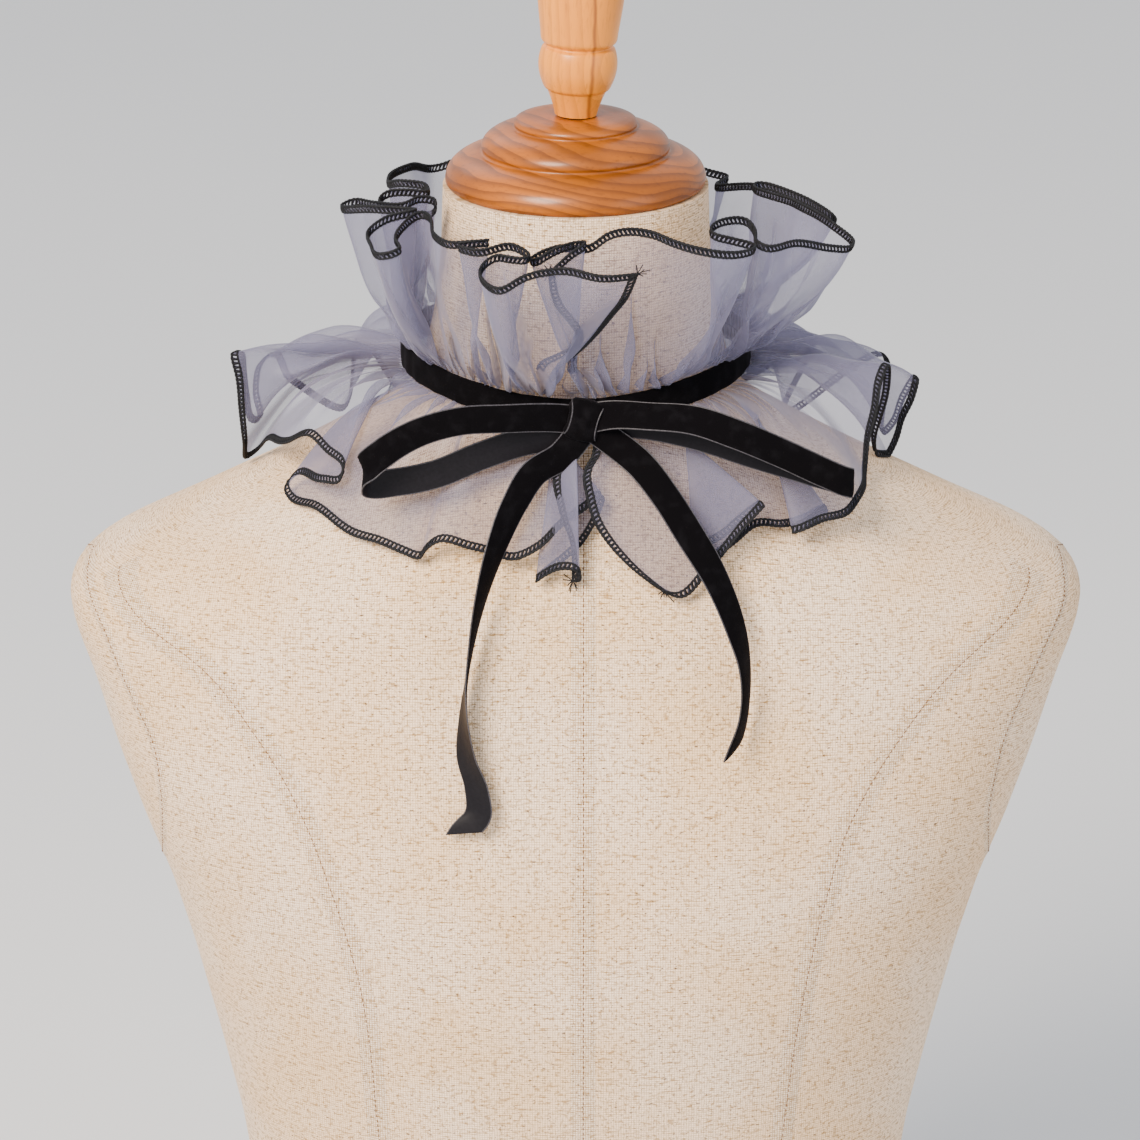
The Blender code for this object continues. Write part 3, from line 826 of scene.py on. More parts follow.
@dataclass
class DressForm:
    """The limbless torso in its linen cover, its seams, and the turned wood on its neck."""

    columns: int = 220
    rise_step: float = 3.0
    turned_steps: int = 128
    turned_profile_step: float = 0.45
    seam_half_width: float = 5.0
    arm_seam_half_width: float = 2.6
    seam_lift: float = 0.3
    stitch_gap: float = 2.4
    stitch_length: float = 1.5
    stitch_radius: float = 0.21
    stitch_height: float = 0.38
    # How far a seam's strip stands off the cover, and how deep its underside goes into the form
    seam_gap: float = 0.05
    seam_depth: float = 1.2
    # Seams on the form: (across, front, rise) of points that are moved onto its surface
    centre_seam: Table = ((3, 60, 560), (3, 66, 512), (3, 86, 462), (3, 98, 421), (3, 109, 363),
                          (3, 114, 302), (3, 107, 242), (3, 96, 170), (3, 100, 80), (3, 107, 1))
    side_panel_seams: tuple[Table, ...] = (
        ((-181, 32, 453), (-164, 55, 440), (-143, 77, 424), (-124, 88, 402), (-110, 95, 380), (-96, 101, 345),
         (-85, 102, 307), (-78, 91, 231), (-76, 84, 170), (-84, 88, 80), (-92, 92, 1)),
        ((181, 34, 453), (164, 55, 441), (144, 77, 422), (123, 89, 397), (106, 97, 368), (97, 101, 335),
         (90, 100, 300), (82, 89, 230), (80, 84, 170), (88, 88, 80), (96, 92, 1)),
        BACK_PANEL_SEAM,
        tuple((-across, front, rise) for across, front, rise in BACK_PANEL_SEAM),
        ((0, -62, 520), (0, -90, 440), (0, -104, 345), (0, -94, 250), (0, -88, 170), (0, -105, 80),
         (0, -116, 1)),
    )
    arm_seams: tuple[Table, ...] = (
        ((-194, 0, 450), (-192, 22, 446), (-186, 46, 434), (-176, 58, 410), (-165, 65, 388), (-160, 58, 358),
         (-163, 40, 335), (-168, 8, 326), (-165, -34, 336), (-172, -58, 372), (-182, -52, 410),
         (-192, -26, 440), (-194, 0, 450)),
        ((194, 0, 450), (192, 22, 446), (187, 46, 430), (177, 58, 408), (168, 63, 388), (162, 58, 356),
         (163, 40, 335), (168, 8, 326), (165, -34, 336), (172, -58, 372), (182, -52, 410),
         (192, -26, 440), (194, 0, 450)),
    )
    # Turned profiles: radius and height, from the foot up the outer side
    cap_profile: Table = (
        (50.0, 0.0), (50.9, 1.2), (51.0, 3.0), (50.6, 4.8), (49.4, 7.2), (47.4, 9.2), (44.6, 10.9),
        (41.6, 12.0), (38.6, 12.7), (36.9, 13.0), (36.5, 13.5), (36.9, 14.6), (36.6, 16.4), (35.4, 18.3),
        (33.4, 19.9),
        (30.6, 21.3), (27.6, 22.2), (25.2, 22.6), (24.1, 22.8), (23.9, 23.3), (24.2, 24.2), (23.8, 25.3),
        (22.8, 26.1), (21.0, 26.6), (14.0, 26.9), (0.0, 27.0),
    )
    finial_profile: Table = (
        (8.2, 0.0), (8.7, 2.0), (9.4, 4.3), (10.4, 7.0), (11.3, 9.2), (11.5, 9.7), (11.6, 10.0), (12.1, 10.2),
        (12.8, 10.8), (13.7, 12.6), (14.7, 15.4), (15.3, 18.4), (15.4, 21.0), (15.1, 23.6), (14.6, 25.6),
        (14.2, 26.6), (13.6, 27.1), (12.9, 27.6), (12.9, 28.0), (13.5, 28.5), (14.3, 29.1), (14.8, 29.9),
        (15.0, 31.0), (15.2, 33.0), (15.8, 37.5), (16.5, 43.0), (17.1, 49.0), (17.5, 56.0), (17.8, 63.0),
        (17.6, 69.0), (16.9, 74.0), (15.2, 78.2), (12.4, 81.4), (8.6, 83.4), (4.0, 84.3), (0.0, 84.5),
    )
    # Each turned piece stands a hair above what carries it, and the leaning finial a little more
    seat_gap: float = 0.3
    cap_height: float = 27.0
    lean_gap: float = 0.4
    finial_lean: float = math.radians(2.5)
    # The cover's surface: its angles and rises, its reach from the axis, its places, and how far the
    # cloth runs along it, around and up
    angles: np.ndarray = field(init=False)
    rises: np.ndarray = field(init=False)
    reach: np.ndarray = field(init=False)
    rings: np.ndarray = field(init=False)
    cloth_around: np.ndarray = field(init=False)
    cloth_up: np.ndarray = field(init=False)

    def __post_init__(self) -> None:
        """Work out the cover's surface and how far the cloth runs along it."""
        self.angles = np.linspace(-math.pi, math.pi, self.columns + 1)
        self.rises = np.linspace(0.0, NECK_TOP, int(NECK_TOP / self.rise_step) + 1)
        raw = np.array([form_reach(np.sin(self.angles), np.cos(self.angles), float(rise))
                        for rise in self.rises])
        self.reach = drawn_smooth(raw, 4.0, self.rise_step)
        self.rings = np.stack([np.sin(self.angles) * self.reach, np.cos(self.angles) * self.reach,
                               np.broadcast_to(self.rises[:, None], self.reach.shape)], axis=2)
        around = np.linalg.norm(np.diff(self.rings, axis=1), axis=2)
        around = np.concatenate([np.zeros((len(self.rises), 1)), np.cumsum(around, axis=1)], axis=1)
        self.cloth_around = around - around[:, [self.columns // 2]]
        up = np.linalg.norm(np.diff(self.rings, axis=0), axis=2)
        self.cloth_up = np.concatenate([np.zeros((1, self.columns + 1)), np.cumsum(up, axis=0)])
        neck = int(NECK_SEAM / self.rise_step)
        self.cloth_up[neck:] += self.cloth_up[neck, self.columns // 2] - self.cloth_up[neck]

    def build(self) -> None:
        """Make every piece of the form."""
        self.build_torso(SlubbedLinen().material())
        # The seams' linen is a little greyer, with a stronger painted shade in the gaps of its weave
        pressed = SlubbedLinen(name="pressed_linen_seam", ground="#F6E3CE", warm="#EDD8BE", gap_shade_strength=0.8)
        self.build_seams(pressed.material(), StitchThread().material())
        cap_wood = TurnedWood(
            "lacquered_cherry", light="#A2580A", dark="#7E4204", line="#4F2603", grain=Grain.LEVEL,
            layer_gap=3.3, line_strength=0.62, coat=0.3, coat_roughness=0.22)
        finial_wood = TurnedWood(
            "turned_birch", light="#F0992A", dark="#E0881C", line="#A65E12", grain=Grain.UPRIGHT,
            layer_gap=4.5, line_strength=0.35, coat=0.3, coat_roughness=0.25, streak_at=5.5)
        cap_foot = NECK_TOP + self.seat_gap
        finial_foot = cap_foot + self.cap_height + self.seat_gap + self.lean_gap
        self.build_turned("neck_cap", self.cap_profile, cap_wood.material(), cap_foot, 0.0,
                          "cap_wood", "form_neck_cap")
        self.build_turned("finial", self.finial_profile, finial_wood.material(), finial_foot,
                          self.finial_lean, "finial_wood", "form_finial")

    def read(self, table: np.ndarray, angles: np.ndarray, rises: np.ndarray) -> np.ndarray:
        """Read a table of the cover's surface between its rows and columns.

        Args:
            table: one row for each rise and one column for each angle.
            angles: from -pi to pi, with 0 at the front.
            rises: in millimetres.

        Returns:
            One value for each angle and rise.
        """
        column = np.clip((angles + math.pi) / (2.0 * math.pi) * self.columns, 0.0, self.columns - 1e-6)
        row = np.clip(rises / NECK_TOP * (len(self.rises) - 1), 0.0, len(self.rises) - 1 - 1e-6)
        left, low = column.astype(int), row.astype(int)
        aside, above = column - left, row - low
        lower = table[low, left] * (1.0 - aside) + table[low, left + 1] * aside
        upper = table[low + 1, left] * (1.0 - aside) + table[low + 1, left + 1] * aside
        return lower * (1.0 - above) + upper * above

    def on_surface(self, places: np.ndarray, off: float) -> np.ndarray:
        """Move places level outwards or inwards to a distance off the cover's surface.

        Args:
            places: rows of (across, front, rise).
            off: how far outside the surface they end.

        Returns:
            The moved places.
        """
        moved = places.copy()
        reach = self.read(self.reach, np.arctan2(places[:, 0], places[:, 1]), places[:, 2])
        away = np.hypot(places[:, 0], places[:, 1])
        moved[:, :2] *= ((reach + off) / away)[:, None]
        return moved

    def build_torso(self, linen: bpy.types.Material) -> None:
        """Build the smooth torso and neck with a flat underside.

        Args:
            linen: the cover's finish.
        """
        parts = MeshParts()
        parts.add(self.rings[:, :-1], closed_tube_faces(len(self.rises), self.columns))
        made = parts.build("torso_linen", [linen])
        face_out(made)
        self.lay_cloth(made)
        settle(made, "linen", "form_torso")

    def lay_cloth(self, made: bpy.types.Object) -> None:
        """Store the linen's flat coordinates on a piece of the form.

        The threads run level and upright, as on the pinned panels of the real cover.

        Args:
            made: the piece.
        """
        loops = made.data.loops
        corners = np.zeros(len(loops), int)
        loops.foreach_get("vertex_index", corners)
        points = np.zeros(len(made.data.vertices) * 3)
        made.data.vertices.foreach_get("co", points)
        points = points.reshape(-1, 3) / MM
        centres = np.zeros(len(made.data.polygons) * 3)
        made.data.polygons.foreach_get("center", centres)
        sizes = np.zeros(len(made.data.polygons), int)
        made.data.polygons.foreach_get("loop_total", sizes)
        right = np.repeat(centres[::3] > 0.0, sizes)
        angles = np.arctan2(points[:, 0], -points[:, 1])[corners]
        angles = np.where(right & (angles < -3.0), angles + 2.0 * math.pi, angles)
        angles = np.where(~right & (angles > 3.0), angles - 2.0 * math.pi, angles)
        rises = points[corners, 2]
        flat = np.column_stack([self.read(self.cloth_around, angles, rises),
                                self.read(self.cloth_up, angles, rises)]) * MM
        layer = made.data.uv_layers.new(name=CLOTH)
        layer.data.foreach_set("uv", flat.reshape(-1))

    def build_seams(self, linen: bpy.types.Material, thread: bpy.types.Material) -> None:
        """Build the pressed seams of the cover, as low ridges with a line of stitches along each.

        Args:
            linen: the seams' finish.
            thread: the stitches' finish.
        """
        stitches = MeshParts()
        named = [("centre_front_seam", self.centre_seam, self.seam_half_width)]
        named += [(f"panel_seam_{k + 1}", table, self.seam_half_width)
                  for k, table in enumerate(self.side_panel_seams)]
        named += [(f"arm_seam_{k + 1}", table, self.arm_seam_half_width)
                  for k, table in enumerate(self.arm_seams)]
        for name, table, half_width in named:
            line = self.on_surface(smooth_line(table, 2.0), 0.0)
            made = self.seam_strip(name, line, half_width, linen)
            self.lay_cloth(made)
            settle(made, "linen")
            self.stitch(stitches, line)
        settle(stitches.build("seam_stitches", [thread]), "linen")

    def stitch(self, stitches: MeshParts, line: np.ndarray) -> None:
        """Sew a line of short stitches along a seam.

        Args:
            stitches: where the stitches are gathered.
            line: the seam's places on the form.
        """
        arch = np.array([0.0, 1.0, 1.0, 0.0]) * self.stitch_height
        total = lengths_along(line)[-1]
        for start in np.arange(1.0, total - self.stitch_gap, self.stitch_gap):
            wanted = start + self.stitch_length * np.linspace(0.0, 1.0, len(arch))
            path = self.on_surface(at_lengths(line, wanted), 0.0)
            outward = unit(np.column_stack([path[:, :2], np.zeros(len(arch))]))
            path += outward * arch[:, None]
            stitches.add_tube(path, outward, self.stitch_radius)

    def seam_strip(self, name: str, line: np.ndarray, half_width: float,
                   linen: bpy.types.Material) -> bpy.types.Object:
        """Build one seam as a closed low strip on the form.

        Args:
            name: the piece's name.
            line: the seam's places on the form.
            half_width: half the width that is pressed.
            linen: the cover's finish.

        Returns:
            The piece.
        """
        run = unit(np.gradient(line, axis=0))
        outward = unit(np.column_stack([line[:, 0], line[:, 1], np.zeros(len(line))]))
        aside = unit(np.cross(run, outward))
        # Across the seam: share of the half width, and height over the cover as a share of the lift
        profile = ((-1.0, -0.30), (-0.85, 0.0), (-0.6, 0.3), (-0.3, 0.75), (-0.1, 0.95), (0.0, 0.45),
                   (0.1, 0.95), (0.3, 0.75), (0.6, 0.3), (0.85, 0.0), (1.0, -0.30))
        rows = []
        for share, lift in profile:
            places = line + aside * share * half_width
            rows.append(self.on_surface(places, self.seam_gap + lift * self.seam_lift))
        under = [row - outward * self.seam_depth for row in rows[::-1]]
        rings = np.array(rows + under).transpose(1, 0, 2)
        parts = MeshParts()
        parts.add(rings, closed_tube_faces(len(line), rings.shape[1]))
        made = parts.build(name, [linen])
        face_out(made)
        return made

    def build_turned(self, name: str, profile: Table, wood: bpy.types.Material, foot: float, lean: float,
                     slot: str, node: str) -> None:
        """Build a turned piece from its profile.

        Args:
            name: the piece's name.
            profile: radius and height rows from the foot up.
            wood: its finish.
            foot: the rise of its foot.
            lean: how far it leans towards +X, in radians.
            slot: the record's material slot.
            node: the solid that it stands for.
        """
        line = smooth_line([(radius, height, 0.0) for radius, height in profile],
                           self.turned_profile_step)
        radii = np.maximum(line[:-1, 0], 0.0)
        turn = np.linspace(0.0, 2.0 * math.pi, self.turned_steps, endpoint=False)
        rings = np.stack([radii[:, None] * np.sin(turn), radii[:, None] * np.cos(turn),
                          np.broadcast_to(line[:-1, 1][:, None], (len(radii), self.turned_steps))], axis=2)
        top = np.array([[0.0, 0.0, profile[-1][1]]])
        count = self.turned_steps
        faces = closed_grid_faces(len(radii), count)
        faces.append(list(range(count)))
        last = (len(radii) - 1) * count
        peak = len(radii) * count
        faces += [[last + k, last + (k + 1) % count, peak] for k in range(count)]
        parts = MeshParts()
        parts.add(np.concatenate([rings.reshape(-1, 3), top]), faces)
        made = parts.build(name, [wood])
        face_out(made)
        made.location = to_metres(np.array([0.0, 0.0, foot]))
        made.rotation_euler = (0.0, lean, 0.0)
        settle(made, slot, node)


# The gathered strip

# How far the bow pulls the ribbon down at the front, and how much higher it lies all round than its solid
BOW_PULL = 6.1
BAND_LIFT = 3.7


def near_bow(turns: np.ndarray, power: int) -> np.ndarray:
    """Return 1 at the bow and less away from it, the sooner the higher the power."""
    return (0.5 + 0.5 * np.cos(turns)) ** power


def band_dip(turns: np.ndarray) -> np.ndarray:
    """Return how far the bow pulls the ribbon and the gathers down at each turn round the neck."""
    return BOW_PULL * near_bow(turns, 8) - BAND_LIFT


@dataclass(frozen=True)
class BackFolds:
    """Folds round the back, evenly spaced: how many, and the reach and rise of each bend."""

    folds: int
    inner: tuple[float, float]
    outer: tuple[float, float]
    turned_back: float

    def places(self, first: Row, last: Row) -> list[Row]:
        """Work out the folds' bends.

        Args:
            first: the hem's place before the folds.
            last: the hem's place after them.

        Returns:
            The bends as (across, front, rise).
        """
        start = math.degrees(math.atan2(-first[0], first[1])) % 360.0
        end = math.degrees(math.atan2(-last[0], last[1])) % 360.0
        count = 2 * self.folds + 1
        found: list[Row] = []
        for index in range(1, count):
            outward = index % 2 == 0
            reach, rise = self.outer if outward else self.inner
            # No two folds of hand-gathered cloth are alike
            uneven = 2.2 * math.sin(2.4 * index) + 2.0 * math.sin(5.1 * index + 1.0)
            turned = self.turned_back * (1.0 + 0.6 * math.sin(3.7 * index + 0.5))
            turn = start + (end - start) * index / count + (turned if outward else -turned)
            angle = math.radians(turn + 0.7 * uneven)
            away = reach + uneven
            found.append((-away * math.sin(angle), away * math.cos(angle), rise + uneven))
        return found


@dataclass(frozen=True)
class Gathers:
    """One family of small pleats that run out from the ribbon.

    They take up the cloth that the neck is too short for: near the ribbon many narrow pleats, and
    further out fewer and wider ones.
    """

    count: int
    deepest: float
    begins: float
    fullest: float
    fades: float
    seed: int

    def strength(self, share: float, reach: np.ndarray) -> np.ndarray:
        """Return how strongly pleats of a reach of about 1 show at a share of the way to the hem."""
        rising = ease(np.full_like(reach, (share - self.begins) / max(self.fullest - self.begins, 1e-3)))
        return rising * (1.0 - ease((share / reach - self.fullest) / (self.fades - self.fullest)))


@dataclass
class Overlock:
    """A three-thread overlock seam: two rails of thread with slanted rungs between, over the cut edge."""

    width: float = 2.35
    pitch: float = 1.75
    rail: float = 0.55
    rung: float = 0.41
    slant: float = 0.95
    tuft_threads: int = 7
    tuft_length: float = 4.8
    tuft_radius: float = 0.24
    # How far the rails sway with each stitch, and how high the rungs arch over the edge
    rail_sway: float = 0.12
    inner_sway: float = 0.10
    rung_lift: float = 0.10
    rung_arch: float = 0.22
    # The rungs under the cloth are less slanted than those on it, by this share
    under_slant: float = 0.45
    rail_sides: int = 5
    rung_steps: int = 6
    tuft_fan: float = 1.3

    def sew(self, parts: MeshParts, edge: np.ndarray, inward: np.ndarray, normal: np.ndarray) -> None:
        """Sew along an edge of the cloth.

        Args:
            parts: where the threads are gathered.
            edge: rows of places along the edge.
            inward: at each, the direction into the cloth.
            normal: at each, the cloth's normal.
        """
        lengths = lengths_along(edge)
        stitches = int(lengths[-1] / self.pitch)
        frame = np.column_stack([edge, inward, normal])

        def read(along: np.ndarray) -> tuple[np.ndarray, np.ndarray, np.ndarray]:
            """Return the place, the inward direction and the normal at lengths along the edge."""
            found = np.column_stack([np.interp(along, lengths, column) for column in frame.T])
            return found[:, :3], unit(found[:, 3:6]), unit(found[:, 6:9])

        along = np.linspace(0.0, lengths[-1], 4 * stitches + 1)
        place, into, out = read(along)
        beat = np.cos(2.0 * math.pi * along / self.pitch)[:, None]
        parts.add_tube(place - into * (0.05 + self.rail_sway * beat), out, self.rail, self.rail_sides)
        parts.add_tube(place + into * (self.width + self.inner_sway * beat) + out * 0.1, out,
                       self.rail * 0.9, self.rail_sides)
        shares = np.linspace(0.0, 1.0, self.rung_steps)
        for side, slant in ((1.0, self.slant), (-1.0, self.under_slant * self.slant)):
            starts = (np.arange(stitches) + 0.25) * self.pitch
            reach = np.clip(starts[:, None] + shares * slant * self.pitch, 0.0, lengths[-1]).reshape(-1)
            place, into, out = read(reach)
            depth = np.tile(self.width * (1.0 - shares), stitches)[:, None]
            arch = np.tile(self.rung_lift + self.rung_arch * np.sin(math.pi * shares), stitches)[:, None]
            paths = (place + into * depth + out * arch * side).reshape(stitches, len(shares), 3)
            leans = out.reshape(stitches, len(shares), 3)
            for path, lean in zip(paths, leans):
                parts.add_tube(path, lean, self.rung)

    def leave_tuft(self, parts: MeshParts, corner: np.ndarray, away: np.ndarray, normal: np.ndarray) -> None:
        """Leave the cut thread ends that stick out at a corner.

        Args:
            parts: where the threads are gathered.
            corner: the corner's place.
            away: the direction out of the cloth.
            normal: the cloth's normal.
        """
        chance = np.random.default_rng(len(parts.faces))
        aside = np.cross(normal, away)
        for turn in np.linspace(-self.tuft_fan, self.tuft_fan, self.tuft_threads):
            heading = away * math.cos(turn) + aside * math.sin(turn) + normal * chance.uniform(-0.4, 0.5)
            curl = aside * chance.uniform(-0.5, 0.5) + normal * chance.uniform(-0.3, 0.3)
            along = np.linspace(0.0, chance.uniform(0.6, 1.0) * self.tuft_length, 5)[:, None]
            path = corner + heading * along + curl * along**2 / self.tuft_length
            parts.add_tube(path, np.broadcast_to(normal, path.shape), self.tuft_radius)


@dataclass
class Ruffle:
    """One half of the organza strip, from under the ribbon to its overlocked hem."""

    name: str
    node: str
    hem_left: Table
    hem_right: Table
    back: BackFolds
    end_left: Table
    end_right: Table
    first_rise: float
    leave_rise: float
    swell: float
    pressed_by_bow: bool
    cut_width: float
    cut_length: float
    gathers: tuple[Gathers, ...]
    overlock: Overlock = field(default_factory=Overlock)
    gather_reach: float = 67.3
    first_turn: float = 6.0
    last_turn: float = 364.0
    columns: int = 1500
    hem_step: float = 0.5
    hem_softening: float = 1.3
    # The strip's last end is tucked in under the first over this share of its length
    tuck_share: float = 0.04
    tuck_depth: float = 1.5
    turn_smoothing: float = 62.0
    least_step: float = 0.35
    bend_share: float = 0.68
    bend_share_pressed: float = 0.34
    bend_rise_share: float = 0.15
    end_reach: float = 26.0
    crease_left: Table | None = None
    crease_away: float = 4.8
    fold_softening: float = 15.0
    most_lean: float = math.radians(62.0)
    pleat_share: float = 0.6
    # How much flatter the gathers lie under the bow
    bow_flattens: float = 0.85
    # The gathers fade over this share of the length at each short end
    plain_end: float = 0.012
    lean_waves: int = 16
    excess_softening: float = 12.0
    most_excess: float = 2.2
    # How much of a pleat's depth also stands away from the neck, next to the ribbon
    stand_share: float = 0.5
    # How far into the cloth the overlock at the short ends finds its direction
    inward_reach: float = 3.0
    shares: np.ndarray = field(default_factory=lambda: np.concatenate([
        np.linspace(0.0, 0.12, 5), np.linspace(0.16, 0.92, 17), np.linspace(0.95, 1.0, 3)]))

    def hem_line(self) -> np.ndarray:
        """Run the hem through its bends, with the folds at the back.

        Returns:
            The hem's places, one for each column, evenly spaced.
        """
        folds = self.back.places(self.hem_left[-1], self.hem_right[-1])
        table = list(self.hem_left) + folds + list(self.hem_right)[::-1]
        line = drawn_smooth(smooth_line(table, self.hem_step), self.hem_softening, self.hem_step)
        total = lengths_along(line)[-1]
        return at_lengths(line, np.linspace(0.0, total, self.columns))

    def gather_turns(self, hem: np.ndarray, step: float) -> np.ndarray:
        """Spread the columns along the gather line, following the hem in the large.

        Args:
            hem: the hem's places.
            step: how far apart they are.

        Returns:
            Each column's turn round the neck, in radians.
        """
        turns = np.unwrap(np.arctan2(-hem[:, 0], hem[:, 1]))
        turns[0] = math.radians(self.first_turn)
        turns[-1] = math.radians(self.last_turn)
        span = turns[-1] - turns[0]
        steps = np.diff(drawn_smooth(turns[:, None], self.turn_smoothing, step)[:, 0])
        steps = np.maximum(steps, self.least_step * span / len(steps))
        steps *= span / steps.sum()
        return turns[0] + np.concatenate([[0.0], np.cumsum(steps)])

    def grid(self) -> np.ndarray:
        """Work out the ruffle's places.

        Returns:
            Rows by columns of places, from the gather line (first row) to the hem (last row).
        """
        hem = self.hem_line()
        step = lengths_along(hem)[-1] / (self.columns - 1)
        turns = self.gather_turns(hem, step)
        shares = np.linspace(0.0, 1.0, self.columns)
        tuck = np.clip((shares - 1.0 + self.tuck_share) / self.tuck_share, 0.0, 1.0) * self.tuck_depth
        reach = self.gather_reach - tuck
        pressed = near_bow(turns, 4) if self.pressed_by_bow else np.zeros(self.columns)
        bend_share = self.bend_share + (self.bend_share_pressed - self.bend_share) * pressed
        around = np.column_stack([-np.sin(turns), np.cos(turns)])

        def ring(rise: float) -> np.ndarray:
            """Return the gathered ring at a rise."""
            return np.column_stack([around * reach[:, None], rise - band_dip(turns)])

        leave = ring(self.leave_rise)
        rows = [ring(self.first_rise)]
        for share in self.shares:
            sigma = self.fold_softening * (1.0 - share) ** 1.25
            soft = clear_of_form(drawn_smooth(hem, sigma, step), FORM_CLEARANCE)
            soft_reach = np.hypot(soft[:, 0], soft[:, 1])[:, None]
            level = unit(soft[:, :2] / soft_reach + around)
            bend_reach = reach[:, None] + bend_share[:, None] * (soft_reach - reach[:, None])
            bend_rise = (leave[:, 2] + self.bend_rise_share * (soft[:, 2] - leave[:, 2])
                         + self.swell * (1.0 - pressed))
            bend = np.column_stack([level * bend_reach, bend_rise])
            row = (1 - share) ** 2 * leave + 2 * share * (1 - share) * bend + share**2 * soft
            rows.append(clear_of_form(row, FORM_CLEARANCE))
        return self.gathered(self.with_ends(np.array(rows), step))

    def with_ends(self, grid: np.ndarray, step: float) -> np.ndarray:
        """Draw the strip's two short ends, and a crease beside an end, to their own lines.

        Args:
            grid: the ruffle's places.
            step: how far apart the hem's places are.

        Returns:
            The changed grid.
        """
        along = np.arange(self.columns) * step
        for end_line, crease, first, away in ((self.end_left, self.crease_left, 0, along),
                                              (self.end_right, None, -1, along[::-1])):
            places = [(0.0, end_line, first)]
            if crease is not None:
                places.append((self.crease_away, crease, int(round(self.crease_away / step))))
            shifts = []
            for _, table, column in places:
                line = smooth_line(list(table) + [tuple(grid[-1, column])], self.hem_step)
                wanted = at_lengths(line, self.shares * lengths_along(line)[-1])
                shifts.append(wanted - grid[1:, column])
            keys = [away_from_end for away_from_end, _, _ in places]
            keys.append(keys[-1] + self.end_reach)
            shifts.append(np.zeros_like(shifts[0]))
            for number in range(len(keys) - 1):
                inside = (away >= keys[number]) & (away < keys[number + 1])
                share = (away[inside] - keys[number]) / (keys[number + 1] - keys[number])
                share = ease(share) if number == len(keys) - 2 else share
                mixed = (shifts[number][:, None] * (1.0 - share)[None, :, None]
                         + shifts[number + 1][:, None] * share[None, :, None])
                grid[1:, inside] += mixed
        return grid

    def gathered(self, grid: np.ndarray) -> np.ndarray:
        """Fold the cloth that each row is too short for into small pleats.

        Args:
            grid: the ruffle's places.

        Returns:
            The changed grid.
        """
        shares = np.linspace(0.0, 1.0, self.columns)
        ends = ease(np.minimum(shares, 1.0 - shares) / self.plain_end)
        hem_step = lengths_along(grid[-1])[-1] / (self.columns - 1)
        turns = np.unwrap(np.arctan2(-grid[0, :, 0], grid[0, :, 1]))
        pressed = near_bow(turns, 4) if self.pressed_by_bow else np.zeros(self.columns)
        room = ends * (1.0 - self.bow_flattens * pressed)
        normals = grid_normals(grid)
        runs = unit(np.gradient(grid, axis=1))
        sideways = np.clip(2.2 * wander(shares, self.lean_waves, 7 + len(self.name)), -1.0, 1.0)
        lean = self.most_lean * sideways
        moved = grid.copy()
        waves = []
        for family in self.gathers:
            shifted = family.count * shares + 0.5 * wander(shares, family.count // 3, family.seed)
            phase = 2.0 * math.pi * shifted
            height = 0.85 * np.sin(phase) + 0.25 * np.sin(2.0 * phase + 1.3)
            uneven = 0.9 + 0.35 * wander(shares, family.count // 2, family.seed + 1)
            reach = 1.0 + 0.4 * wander(shares, family.count // 2, family.seed + 2)
            waves.append((family, height * uneven, reach))
        for row, share in enumerate(self.shares, start=1):
            steps = np.linalg.norm(np.gradient(grid[row], axis=0), axis=1)
            steps = drawn_smooth(steps[:, None], self.excess_softening, hem_step)[:, 0]
            excess = self.cut_length / self.columns / np.maximum(steps, 1e-3) - 1.0
            excess = np.clip(excess, 0.0, self.most_excess)
            lift = np.zeros(self.columns)
            for family, height, reach in waves:
                pleat = steps * self.columns / family.count
                depth = np.minimum(pleat * np.sqrt(excess) * self.pleat_share, family.deepest)
                lift += depth * height * family.strength(float(share), reach)
            outward = self.stand_share * np.abs(lift) * (1.0 - share)
            folded = normals[row] * np.cos(lean)[:, None] + runs[row] * np.sin(lean)[:, None]
            moved[row] += folded * (lift * room)[:, None]
            away = unit(grid[row, :, :2])
            moved[row, :, :2] += away * (outward * room)[:, None]
        for row in range(2, len(moved)):
            moved[row] = clear_of_form(moved[row], FORM_CLEARANCE)
        return moved

    def build(self, organza: bpy.types.Material, thread: bpy.types.Material) -> None:
        """Build the cloth and its overlocked edges.

        Args:
            organza: the cloth's finish.
            thread: the overlock's finish.
        """
        grid = self.grid()
        rows, columns, _ = grid.shape
        parts = MeshParts()
        parts.add(grid, grid_faces(rows, columns))
        cloth = parts.build(self.name, [organza])
        along = np.linspace(0.0, lengths_along(grid[-1])[-1], columns) * MM
        down = lengths_along(grid[:, columns // 2]) * MM
        flat = np.stack(np.broadcast_arrays(along[None, :], down[:, None]), axis=2)
        set_coordinates(cloth, flat.reshape(-1, 2))
        settle(cloth, "organza", self.node)
        sewn = self.sew(grid, thread)

    def sew(self, grid: np.ndarray, thread: bpy.types.Material) -> bpy.types.Object:
        """Overlock the hem and the two short ends.

        Args:
            grid: the ruffle's places.
            thread: the thread's finish.

        Returns:
            The threads as one piece.
        """
        normals = grid_normals(grid)
        inner = int(round(self.inward_reach / (lengths_along(grid[-1])[-1] / self.columns)))
        parts = MeshParts()
        hem_inward = unit(grid[-3] - grid[-1])
        self.overlock.sew(parts, grid[-1], hem_inward, normals[-1])
        for column, beside in ((0, inner), (-1, -1 - inner)):
            edge = grid[2:, column]
            self.overlock.sew(parts, edge, unit(grid[2:, beside] - edge), normals[2:, column])
            away = unit(grid[-1, column] - grid[-3, beside])
            self.overlock.leave_tuft(parts, grid[-1, column], away, normals[-1, column])
        made = parts.build(self.name.replace("organza", "overlock"), [thread])
        return settle(made, "velvet")


# The ribbon


class Hang(Enum):
    """Which way a length of ribbon runs."""

    LEVEL = "level"
    DOWN = "down"


